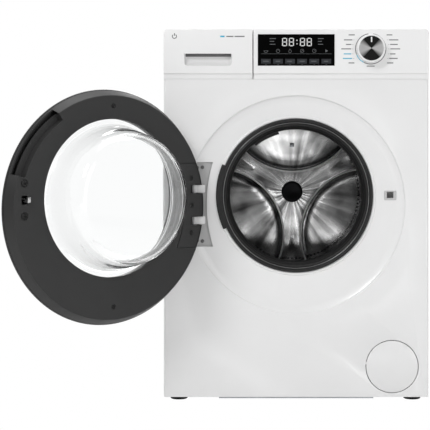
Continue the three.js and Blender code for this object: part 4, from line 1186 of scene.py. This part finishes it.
    def programme_marks(self) -> None:
        """Print a bar for each programme, a leader to the dial, and the small marks at the far left."""
        grey: list[tuple[float, float, float, float]] = []
        blue: list[tuple[float, float, float, float]] = []
        x, z = self.knob
        lengths = (17.0, 22.0, 15.0, 25.0, 20.0, 24.0, 16.0)
        reach = (33.0, 38.5, 41.0, 41.5, 41.0, 39.0, 34.0)
        for i, rise in enumerate(self.bars):
            wide, near = lengths[i], reach[i]
            left = (x - near - wide, x - near - 3.0, rise - 1.1, rise + 1.1)
            right = (x + near + 3.0, x + near + lengths[-1 - i], rise - 1.1, rise + 1.1)
            (blue if i in (4, 5) else grey).append(left)
            grey.append(right)
            if 0 < i < len(self.bars) - 1:
                grey.append((x - near - 1.6, x - near + 2.2, rise - 0.25, rise + 0.25))
                grey.append((x + near - 2.2, x + near + 1.6, rise - 0.25, rise + 0.25))
        grey.append((x - 9, x + 9, z - 40.0, z - 38.0))
        self.print_marks("programme_marks", grey, GREY_INK)
        self.print_marks("programme_marks_blue", blue, BLUE_INK)


@dataclass
class Drawer:
    """The detergent drawer: a front with a finger scoop, and its tray.

    Attributes:
        fascia: the fascia whose moulding it matches.
        pull_left: left end of the scoop.
        pull_right: its right end.
        scoop: radius of the scoop.
        lip: height of the scoop's upper edge.
    """

    fascia: Fascia
    pull_left: float = -253.0
    pull_right: float = -146.0
    scoop: float = 24.3
    lip: float = 789.5

    def build(self) -> None:
        """Mould the front and the tray, hang a sheet of painted shade in the pocket, and print the small marks."""
        front = self.fascia.moulding(-300, self.fascia.seam - 1, -300)
        combine(front, block((self.pull_left - 4, -3, 757), (self.pull_right + 4, 18, 802)), Join.ADD)
        combine(front, self.scoop_tool(), Join.CUT)
        keep(front, "drawer_moulding", "drawer", WHITE_ABS, ("drawer_front",), 30)
        keep(soften(from_cad("drawer_tray"), 0.9, 3), "drawer_compartments", "drawer", TRAY_GREY,
             ("drawer_tray",))
        y0, y1 = self.fascia.face - self.fascia.ink, self.fascia.face + 0.1
        sign = joined([wedge(3.9, 5.5, y0, y1, -275.6, 828.4, 130, 410, 30),
                       block((-276.4, y0, 829.6), (-274.8, y1, 835.4))])
        keep(sign, "drawer_sign", "drawer", DARK_INK)
        # A grey sheet behind the lip stands in for the shade in the pocket: painted shade.
        pocket_shade_sheet = block((self.pull_left + 1.4, 12.7, 783.6), (self.pull_right - 1.4, 14.6, 796.6), 0.4, 2)
        keep(pocket_shade_sheet, "drawer_pocket_shade_sheet", "drawer", DRAWER_POCKET_SHADE)
        bars = [block((a, y0, 826.9), (b, y1, 829.4)) for a, b in ((-158, -142), (-139.5, -117))]
        keep(joined(bars), "drawer_marks", "drawer", GREY_INK)
        keep(block((-172, y0, 826.4), (-162, y1, 829.9)), "drawer_blue_mark", "drawer", BLUE_INK)

    def scoop_tool(self) -> bpy.types.Object:
        """Make the rounded solid that hollows the finger scoop and the pocket behind its lip."""
        bpy.ops.mesh.primitive_cylinder_add(
            vertices=96, radius=self.scoop * MM, depth=(self.pull_right - self.pull_left) * MM,
            location=place((self.pull_left + self.pull_right) / 2, -14.3 + 4.0, 785), rotation=(0, math.pi / 2, 0))
        roll = settle(bpy.context.object)
        soften(roll, 7.0, 6, 60)
        combine(roll, block((self.pull_left - 5, -50, self.lip), (self.pull_right + 5, 50, 830)), Join.CUT)
        pocket = block((self.pull_left + 1, 1.0, 776), (self.pull_right - 1, 14.4, 797.4), 4.0, 5)
        return combine(roll, pocket, Join.ADD)


@dataclass
class DoorAssembly:
    """The round door, modelled closed and then swung open.

    Attributes:
        rim: radius of its widest edge; not used.
        face: radius of its inner face; not used.
        hole: radius of the window's opening.
        front: depth of its outer face.
        inner: depth of its inner face.
        grip: start and end of the grip, in degrees from the latch side.
        lock: x of the latch.
    """

    rim: float = 252.5
    face: float = 239.5
    hole: float = 168.5
    front: float = -33.0
    inner: float = 2.0
    grip: tuple[float, float] = (17.0, 56.0)
    lock: float = 214.0

    def build(self) -> None:
        """Make every piece of the door."""
        self.outer_cover()
        self.inner_ring()
        self.slanted_rim()
        self.hinge_trim()
        self.bowl()
        self.hardware()

    def finish(self, piece: bpy.types.Object, name: str, finish: Finish | PressedGlass, slot: str,
               replaces: tuple[str, ...] = (), smooth: float = 30.0) -> None:
        """Swing a piece open and keep it on the door."""
        keep(opened(piece), name, "door", finish, replaces, smooth)

    def outer_cover(self) -> None:
        """Mould the outer cover with its chamfered rim, a step round the window and the sleeve."""
        f = self.front
        cover = turned([(150, f + 3), (184, f + 3), (187, f + 0.3), (189, f), (242.4, f), (244.6, f + 0.5),
                        (251.6, f + 7.4), (252.4, f + 9.2), (251.2, f + 12.9), (247.6, f + 12.9), (249, f + 10),
                        (242.4, f + 3.6), (150, f + 6.5), (150, f + 3)], 0, DOOR_Z)
        combine(cover, disc(self.hole + 0.2, f - 5, 5, 0, AXIS_Z, LARGE), Join.CUT)
        sleeve = turned([(self.hole, f + 3.6), (self.hole + 0.8, f + 2.9), (self.hole + 3, f + 3.4),
                         (self.hole + 3, -6.3), (self.hole, -6.3), (self.hole, f + 3.6)], 0, AXIS_Z)
        combine(cover, sleeve, Join.ADD)
        combine(cover, arm_slots(), Join.CUT)
        self.finish(cover, "door_outer_cover", RIM_ABS, "black_plastic", ("door_cover",))

    def inner_ring(self) -> None:
        """Mould the inner ring with its grip pocket, latch slot, screw wells and the trim's recess."""
        y = self.inner
        plate = turned([(150, y), (237.6, y), *arc(y - 1.2, 237.9, 1.2, 90, 20, 5), (238.6, y - 3.4), (150, y - 3.4),
                        (150, y)], 0, DOOR_Z)
        bead = turned([(160, y - 3.6), (160, y), (171.4, y), (172.6, y - 0.7), (173.6, y + 0.1), (175, y + 0.1),
                       (175, y - 3.6), (160, y - 3.6)], 0, AXIS_Z)
        combine(plate, bead, Join.ADD)
        combine(plate, disc(self.hole, -20, 20, 0, AXIS_Z, LARGE), Join.CUT)
        start, end = self.grip
        floor = wedge(218.6, 236.5, -19.6, -16.6, 0, DOOR_Z, start - 0.8, end + 0.8)
        wall = wedge(218.6, 222, -19.6, y - 0.4, 0, DOOR_Z, start - 0.8, end + 0.8)
        ends = [wedge(218.6, 236.5, -19.6, y - 0.4, 0, DOOR_Z, a, b, 4)
                for a, b in ((start - 0.8, start), (end, end + 0.8))]
        tool = soften(wedge(222, 262, -16.5, 6, 0, DOOR_Z, start, end), 2.5, 3, 50)
        for part in (floor, wall, *ends):
            combine(plate, part, Join.ADD)
        combine(plate, tool, Join.CUT)
        combine(plate, crescent(0, 237.0, 33, 218.4, y - 2.6, y + 1, 94.6), Join.CUT)
        x, z = self.lock, AXIS_Z
        combine(plate, block((x - 7, -12, z - 9), (x + 7, 20, z + 9), 1.6, 3), Join.CUT)
        wells = [(x, z + 34), (x, z - 33), (0, AXIS_Z + 196), (0, DOOR_Z - 212)]
        for index, (a, b) in enumerate(wells):
            wide = 3.0 if index < 2 else 0.0
            combine(plate, turned([(0, y - 2.2), (5.0 + wide, y - 2.2), (5.4 + wide, y - 0.6), (6.4 + wide, y + 0.2),
                                   (6.4 + wide, y + 3), (0, y + 3)], a, b, MEDIUM), Join.CUT)
        combine(plate, arm_slots(), Join.CUT)
        self.finish(plate, "door_inner_moulding", BLACK_PP, "black_plastic", ("door_inner_ring",), 26)
        places = [(a, y - 2.2, b) for a, b in wells]
        screws("door_latch_screws", places[:2], "door", BLACK_RUBBER, 6.6, 1, True)
        screws("door_ring_screws", places[2:], "door", BLACK_RUBBER, 3.9, 1, True)

    def slanted_rim(self) -> None:
        """Mould the slanted band between the inner ring and the cover, open at the grip."""
        band = turned([(239.2, 1.0), (239.7, 0.3), (250.3, -19.4), (247.2, -19.4), (238.9, -4.0), (238.9, 0.6),
                       (239.2, 1.0)], 0, DOOR_Z)
        start, end = self.grip
        combine(band, wedge(222, 262, -16.5, 6, 0, DOOR_Z, start, end), Join.CUT)
        combine(band, arm_slots(), Join.CUT)
        self.finish(band, "door_slanted_rim", RIM_ABS, "black_plastic")

    def hinge_trim(self) -> None:
        """Cut the crescent trim over the hinge, with its three screws."""
        y = self.inner
        trim = crescent(0, 235.8, 33, 220, y - 2.8, y - 0.1, 92.8)
        places = [(-205.5, y, DOOR_Z + 61), (-207.0, y, DOOR_Z), (-205.5, y, DOOR_Z - 61)]
        for x, _, z in places:
            combine(trim, block((x - 5.2, y - 1.4, z - 6.8), (x + 5.2, y + 6, z + 6.8), 3.0, 4), Join.CUT)
        combine(trim, arm_slots(), Join.CUT)
        self.finish(soften(trim, 0.35, 2, 40), "door_hinge_trim", BLACK_PP, "black_plastic", ("hinge_cover",))
        screws("door_trim_screws", [(x, y - 1.4, z) for x, _, z in places], "door", BLACK_RUBBER,
               4.7, 1, True)

    def bowl(self) -> None:
        """Press the glass bowl with its flange and the steps of its wall."""
        outer = [(177, -6), (177, -2.3), (159.5, -2.3), (157.2, -0.6), (153.2, 10), (151.4, 18), (150.0, 27),
                 (147.6, 38), (144.8, 49.5), (143.4, 53), (141.6, 60), (139.2, 70), (137.4, 76.5), (134.6, 81.6),
                 (130.6, 85.2), (125.5, 87.2), (118, 88.3), (92, 89.0), (88, 89.4), (0, 90)]
        inner = [(0, 86.0), (88, 85.2), (92, 84.6), (116, 83.9), (123.2, 82.6), (128.2, 79.6), (131.6, 75.0),
                 (134.6, 66), (139.6, 47), (143.2, 33), (146, 20), (148.6, 7), (152.4, -2.6), (155, -6), (177, -6)]
        self.finish(turned([*outer, *inner], 0, AXIS_Z), "pressed_bowl", PressedGlass(), "door_window",
                    ("door_glass",), 50)

    def hardware(self) -> None:
        """Soften the hinge leaf, the latch and the fixed hinge bracket, and fit their screws."""
        keep(soften(from_cad("hinge_leaf"), 0.5, 3), "hinge_leaf_plate", "door", ZINC, ("hinge_leaf",))
        keep(soften(from_cad("latch_hook"), 0.4, 3), "latch_hook_plate", "latch", CHROME_WIRE,
             ("latch_hook",))
        self.bracket()
        pin = turned_up([(0, 386), (2.4, 386), (3, 386.6), (3, 509.4), (2.4, 510), (0, 510)], *HINGE, SMALL)
        keep(pin, "hinge_steel_pin", "root", CHROME_WIRE, ("hinge_pin",))
        screws("bracket_screws", [(x, 16, DOOR_Z + rise) for x, rise in
                                  ((-225, 83), (-213, 84), (-225, -83), (-213, -84))], "root", GREY_INK,
               4.2)
        keep(soften(from_cad("door_lock"), 0.6, 3), "door_lock_case", "root", LOCK_GREY,
             ("door_lock",))

    def bracket(self) -> None:
        """Cast the fixed bracket: a dished plate in the hinge pocket, a rib along it and two bent arms."""
        plate = crescent(0, 251, 133, 330, 16, 19, 103)
        rib = crescent(0, 251, 141, 330, 13.6, 17, 93)
        combine(rib, crescent(0, 260, 135, 330, 12, 18, 120), Join.CUT)
        # The plate's grey is painted shade for the recessed pocket.
        keep(plate, "hinge_pocket_plate", "root", HINGE_POCKET_SHADE, ("hinge_bracket",))
        keep(soften(rib, 0.9, 3, 40), "hinge_pocket_rib", "root", ENAMEL)
        pieces: list[bpy.types.Object] = []
        lean = math.radians(52)
        across, along = 5 * math.sin(lean), 5 * math.cos(lean)
        hx, hy = HINGE
        rise = math.tan(lean)
        outline = [(across, -along), (22, -along + (22 - across) * rise), (22, 17.5 - hy), (12, 17.5 - hy),
                   (12, along + (12 + across) * rise), (-across, along)]
        for level in (-35.5, 35.5):
            low, high = DOOR_Z + level - 8.5, DOOR_Z + level + 8.5
            pieces.append(prism([(hx + x, hy + y) for x, y in outline], low, high, 1.0))
            knuckle = turned_up([(3.3, low), (6.0, low), (6.5, low + 0.5), (6.5, high - 0.5), (6.0, high),
                                 (3.3, high), (3.3, low)], hx, hy, SMALL)
            pieces.append(knuckle)
        keep(joined(pieces), "hinge_arms", "root", ENAMEL)


@dataclass
class DrumAssembly:
    """The seal, the perforated drum, its starred back and its lifters.

    Attributes:
        radius: radius of the drum's wall.
        front: depth of the drum's mouth.
        back: depth of its rear edge.
        plate: depth of the back plate's face.
        arms: directions of the star's arms, in degrees.
        bead: half the sweep of the bead along each field, in degrees.
    """

    radius: float = 245.0
    front: float = 72.0
    back: float = 354.0
    plate: float = 345.5
    arms: tuple[float, ...] = (30.0, 150.0, 270.0)
    bead: float = 53.0

    def build(self) -> None:
        """Make every piece of the drum and its seal."""
        self.seal()
        self.wall()
        self.star()
        self.lifters()

    def seal(self) -> None:
        """Mould the seal with its folds, its wire ring, its drain lobe and its spray lobe."""
        profile = [(174.2, 13.0), (174.2, 6.0), *arc(6.0, 172.2, 2.0, 0, -90, 4), (169.6, 3.6), (168.2, 4.4),
                   (167.6, 6.6), (165.0, 7.6), (162.4, 6.6), (161.8, 4.6), (160.4, 3.9), (158.6, 4.6), (157.6, 6.4),
                   (157.9, 10.2), (156.0, 12.2), (155.2, 16.0), (155.6, 19.6), (153.2, 22.2), (151.4, 26.0),
                   (151.0, 31.0), (152.8, 34.6), (153.0, 37.4), (151.0, 40.6), (150.6, 45.0), (152.4, 49.2),
                   (156.4, 52.4), (167.5, 61.0), (172.2, 61.0), (172.2, 49.6), (166.4, 45.0), (159.6, 48.0),
                   (155.0, 46.0), (156.6, 38.0), (155.4, 32.0), (160.0, 24.0), (164.8, 13.6), (174.2, 13.0)]
        boot = turned(profile, 0, AXIS_Z, LARGE)
        keep(boot, "door_boot", None, EPDM, ("seal",), 40)
        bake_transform(boot)
        bpy.ops.mesh.primitive_torus_add(major_segments=LARGE, minor_segments=14, major_radius=165 * MM,
                                         minor_radius=0.9 * MM, location=place(0, 6.6, AXIS_Z),
                                         rotation=(math.pi / 2, 0, 0))
        keep(bpy.context.object, "seal_wire", "root", DULL_WIRE)
        lobe = soften(wedge(171.5, 182.0, 4.4, 8.2, 0, AXIS_Z, 157, 205), 1.6, 4, 50)
        keep(lobe, "seal_edge_lobe", "root", BLACK_RUBBER)
        spray = soften(wedge(144.8, 158.4, 57, 69, 0, AXIS_Z, 105, 129), 4.0, 5, 50)
        keep(spray, "seal_spray_lobe", "tub", BLACK_RUBBER)

    def wall(self) -> None:
        """Roll the perforated wall and spin the mouth's rolled edge."""
        r, f, b = self.radius, self.front, self.back
        barrel = turned([(r - 1.5, f + 24), (r, f + 24), (r, 190), (r + 0.0, b), (r - 1.5, b), (r - 1.5, f + 24)],
                        0, AXIS_Z)
        keep(barrel, "drum_barrel", "drum", PUNCHED)
        mouth = turned([(160.6, f + 3.0), *arc(f + 1.5, 163, 3.4, 150, 290, 8), (170, f), (235, f + 8.6),
                        *arc(f + 18.8, 235, 10, -80, 0, 6), (r, f + 24), (r - 1.5, f + 24), (r - 1.7, f + 18.8),
                        (241, f + 13), (235, f + 10.6), (172, f + 1.8), (164, f + 1.5), (160.6, f + 3.0)], 0, AXIS_Z)
        keep(mouth, "drum_mouth", "drum", STAINLESS, ("drum_shell",))

    def star(self) -> None:
        """Press the back plate: a raised star between three shallow fields, facets, drain holes and a hub cap."""
        y = self.plate
        rim = self.radius - 1.8
        plate = turned([(0, y + 4), (196, y + 4), (202, y - 1.5), (rim, y - 1.5), (rim, y + 6.8), (0, y + 6.8)],
                       0, AXIS_Z)
        star = turned([(0, y - 9.0), (40, y - 9.4), (70, y - 8.0), (110, y - 9.0), (150, y - 10.0), (182, y - 8.5),
                       (192, y - 5.0), (200, y + 3), (200, y + 5), (0, y + 5)], 0, AXIS_Z)
        far = 217.0
        beads: list[bpy.types.Object] = []
        for heading in self.arms:
            away = math.radians(heading + 60.0)
            x, z = far * math.cos(away), AXIS_Z + far * math.sin(away)
            tool = turned([(0, y - 24), (178, y - 24), (174, y - 15), (170.6, y - 11.5), (168, y - 8.4),
                           (165.8, y - 5.4), (163, y - 2.4), (159, y), (153, y + 1.5), (146, y + 2.2),
                           (138, y + 2.2), (120, y + 1.0), (95, y - 2.4), (70, y - 4.6), (40, y - 6.2),
                           (0, y - 6.8)], x, z)
            bead = wedge(163.6, 168.4, y - 11.2, y - 6, x, z, heading + 240 - self.bead, heading + 240 + self.bead, 60)
            beads.append(soften(bead, 1.9, 4, 40))
            combine(star, tool, Join.CUT)
        for heading in self.arms:
            combine(star, self.facet(heading), Join.CUT)
        combine(plate, star, Join.ADD)
        soften(plate, 0.9, 2, 22)
        hole = disc(2.1, y - 14, y + 14, 168.0, AXIS_Z, 14)
        combine(plate, around(hole, 108, place(0, 0, AXIS_Z)), Join.CUT)
        # The back's light and dark rays and blotches are painted reflections in its colour.
        keep(plate, "starred_back", "drum", PressedSteelPaintedRays(), ("drum_back",), 30)
        # The beads' near-white colour is a painted highlight.
        keep(joined(beads), "star_beads", "drum", BEAD_PAINTED_HIGHLIGHT)
        cap = turned([(0, y - 11.6), (9, y - 11.8), (17, y - 12.6), (22, y - 13.3), (25.2, y - 12.6), (26.6, y - 10.6),
                      (27, y - 7), (27, y - 2), (0, y - 2)], 0, AXIS_Z, MEDIUM)
        keep(cap, "hub_cap", "drum", HUB)
        badge = block((-5, y - 9.0, AXIS_Z + 112), (5, y + 2, AXIS_Z + 122), 0.6, 2)
        keep(badge, "drum_stamp", "drum", ZINC)

    def facet(self, heading: float) -> bpy.types.Object:
        """Make the sloped three-sided solid that sinks a facet into an arm of the star.

        Args:
            heading: the arm's direction in degrees.

        Returns:
            The cutting solid.
        """
        surface = self.plate - 9.4
        tool = prism([(0, -108), (17, -180), (-17, -180)], AXIS_Z - surface, AXIS_Z - surface + 30)
        spin_about(tool, "X", 90, place(0, 0, AXIS_Z))
        spin_about(tool, "X", 5, place(0, surface, AXIS_Z - 108))
        return spin_about(tool, "Y", 270 - heading, place(0, 0, AXIS_Z))

    def lifters(self) -> None:
        """Smooth the three lifters."""
        for name in ("lifter_1", "lifter_2", "lifter_3"):
            keep(soften(from_cad(name), 5.0, 5, 20), f"smooth_{name}", "drum", STAINLESS, (name,))


@dataclass
class FilterHatch:
    """The round cover over the drain filter, and the plug behind it.

    Attributes:
        x: its centre across the cabinet.
        z: its height.
        radius: its radius.
    """

    x: float = 217.3
    z: float = 80.6
    radius: float = 58.6

    def build(self) -> None:
        """Make the cover and the plug."""
        cover = turned([(0, 0), (self.radius - 0.9, 0), (self.radius - 0.25, 0.25), (self.radius, 0.9),
                        (self.radius, 2.5), (0, 2.5)], self.x, self.z)
        turn = math.radians(58)
        nx, nz = self.x + 55.5 * math.cos(turn), self.z + 55.5 * math.sin(turn)
        notch = spin_about(block((nx - 5, -1, nz - 1.6), (nx + 5, 1.3, nz + 1.6), 0.6, 2), "Y", 32, place(nx, 0, nz))
        combine(cover, notch, Join.CUT)
        keep(cover, "hatch_cover", "filter_flap", ENAMEL, ("filter_cover",))
        keep(soften(from_cad("filter_cap"), 0.8, 3), "filter_plug_cap", "filter_plug", GREY_PP,
             ("filter_cap",))


def dress_inside() -> None:
    """Give the pieces inside the cabinet their finishes, and replace the springs and hoses with finished copies that
    ride on no body.
    """
    dress(GREY_PP, "dispenser_housing", "inlet_valve", "drain_pump", "drain_outlet", "damper_cylinder_left",
          "damper_cylinder_right", "tub_front", "tub_rear")
    dress(ZINC, "front_crossbar", "damper_rod_left", "damper_rod_right", "motor_pulley")
    dress(ALUMINIUM, "drum_spider", "drum_pulley", "motor_housing")
    dress(IRON, "front_counterweight", "top_counterweight")
    dress(STAINLESS, "front_bearing", "rear_bearing", "heater")
    dress(BLACK_RUBBER, "drive_belt")
    dress(LACQUER, "display_board")
    dress(BLACK_PP, "cable_gland")
    flexing = (("suspension_spring_left", ZINC, "zinc_steel", 806.0, 658.0),
               ("suspension_spring_right", ZINC, "zinc_steel", 806.0, 658.0),
               ("dispenser_hose", BLACK_RUBBER, "rubber", 712.0, 692.0),
               ("sump_hose", BLACK_RUBBER, "rubber", 136.0, 225.0))
    for name, finish, slot, fixed, moving in flexing:
        piece = keep(from_cad(name), f"{name}_flexing", None, finish, (name,), 60)
        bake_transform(piece)


# ---- light and camera ----

@dataclass(frozen=True)
class SoftBox:
    """A soft light panel aimed at the machine.

    Attributes:
        name: its name.
        spot: its place in the cabinet, in millimetres.
        aim: the place it faces.
        wide: its width in millimetres.
        tall: its height.
        power: its power in watts.
    """

    name: str
    spot: Point
    aim: Point
    wide: float
    tall: float
    power: float

    def build(self) -> None:
        """Hang the panel."""
        bpy.ops.object.light_add(type="AREA", location=place(*self.spot))
        lamp = bpy.context.object
        lamp.name = self.name
        lamp.data.shape = "RECTANGLE"
        lamp.data.size, lamp.data.size_y = self.wide * MM, self.tall * MM
        lamp.data.energy = self.power
        lamp.rotation_euler = (place(*self.aim) - place(*self.spot)).to_track_quat("-Z", "Y").to_euler()


BOXES = (
    SoftBox("front_key", (-1500, -2300, 2300), (0, 0, 450), 900, 900, 34.5),
    SoftBox("right_strip", (1500, -2600, 900), (0, 0, 468), 260, 1800, 13.0),
    SoftBox("low_strip", (-300, -2800, 120), (0, 300, 468), 1500, 160, 3.0),
    SoftBox("overhead", (0, 200, 3000), (0, 200, 500), 2400, 1800, 28.0),
    SoftBox("back_fill", (0, 3000, 1800), (0, 500, 450), 2400, 1600, 40.0),
)


def light_the_room() -> None:
    """Surround the machine with white behind it and a darker room in front, and hang the panels."""
    world = bpy.context.scene.world or bpy.data.worlds.new("room")
    bpy.context.scene.world = world
    world.use_nodes = True
    tree = world.node_tree
    tree.nodes.clear()
    facing = add_node(tree, "SeparateXYZ", {0: add_node(tree, "TexCoord").outputs["Generated"]})
    shade = add_node(tree, "MapRange", {"Value": facing.outputs["Y"], "From Min": -0.9, "From Max": 0.4,
                                        "To Min": 0.27, "To Max": 0.80})
    unseen = add_node(tree, "Background", {"Color": (1, 1, 1, 1), "Strength": shade.outputs["Result"]})
    seen = add_node(tree, "Background", {"Color": (1, 1, 1, 1), "Strength": 1.0})
    path = add_node(tree, "LightPath")
    direct = add_node(tree, "Math", {0: path.outputs["Is Camera Ray"], 1: path.outputs["Is Transmission Ray"]},
                      operation="MAXIMUM").outputs[0]
    mix = add_node(tree, "MixShader", {0: direct, 1: unseen.outputs[0], 2: seen.outputs[0]})
    add_node(tree, "OutputWorld", {"Surface": mix.outputs[0]})
    for panel in BOXES:
        panel.build()


def lay_the_floor() -> None:
    """Lay a pale floor that throws light up, and is not seen itself."""
    bpy.ops.mesh.primitive_plane_add(size=6.0, location=place(0, 0, -0.6))
    floor = bpy.context.object
    floor.name = "studio_floor"
    floor.data.materials.append(Finish("studio_white", "#E6E6E6", "#E2E2E2", 0.7).build())
    floor.visible_camera = False


def aim_the_camera() -> None:
    """Stand the camera level in front of the cabinet, a little to the left of it."""
    bpy.ops.object.camera_add(location=place(-92.8, -3000, 557.5), rotation=(math.pi / 2, 0, 0))
    camera = bpy.context.object
    camera.data.lens = 110.9
    camera.data.sensor_width = 36.0
    camera.data.shift_x, camera.data.shift_y = -0.0935, -0.137
    bpy.context.scene.camera = camera
    bpy.context.scene.view_settings.view_transform = "Standard"


def main() -> None:
    """Build every sub-assembly in order."""
    logging.basicConfig(level=logging.INFO, format="%(message)s")
    aim_the_camera()
    light_the_room()
    lay_the_floor()
    fascia = Fascia()
    for part in (Cabinet(), fascia, Drawer(fascia), DoorAssembly(), DrumAssembly(), FilterHatch()):
        log.info("building %s", type(part).__name__)
        part.build()
    dress_inside()


if __name__ == "__main__":
    main()
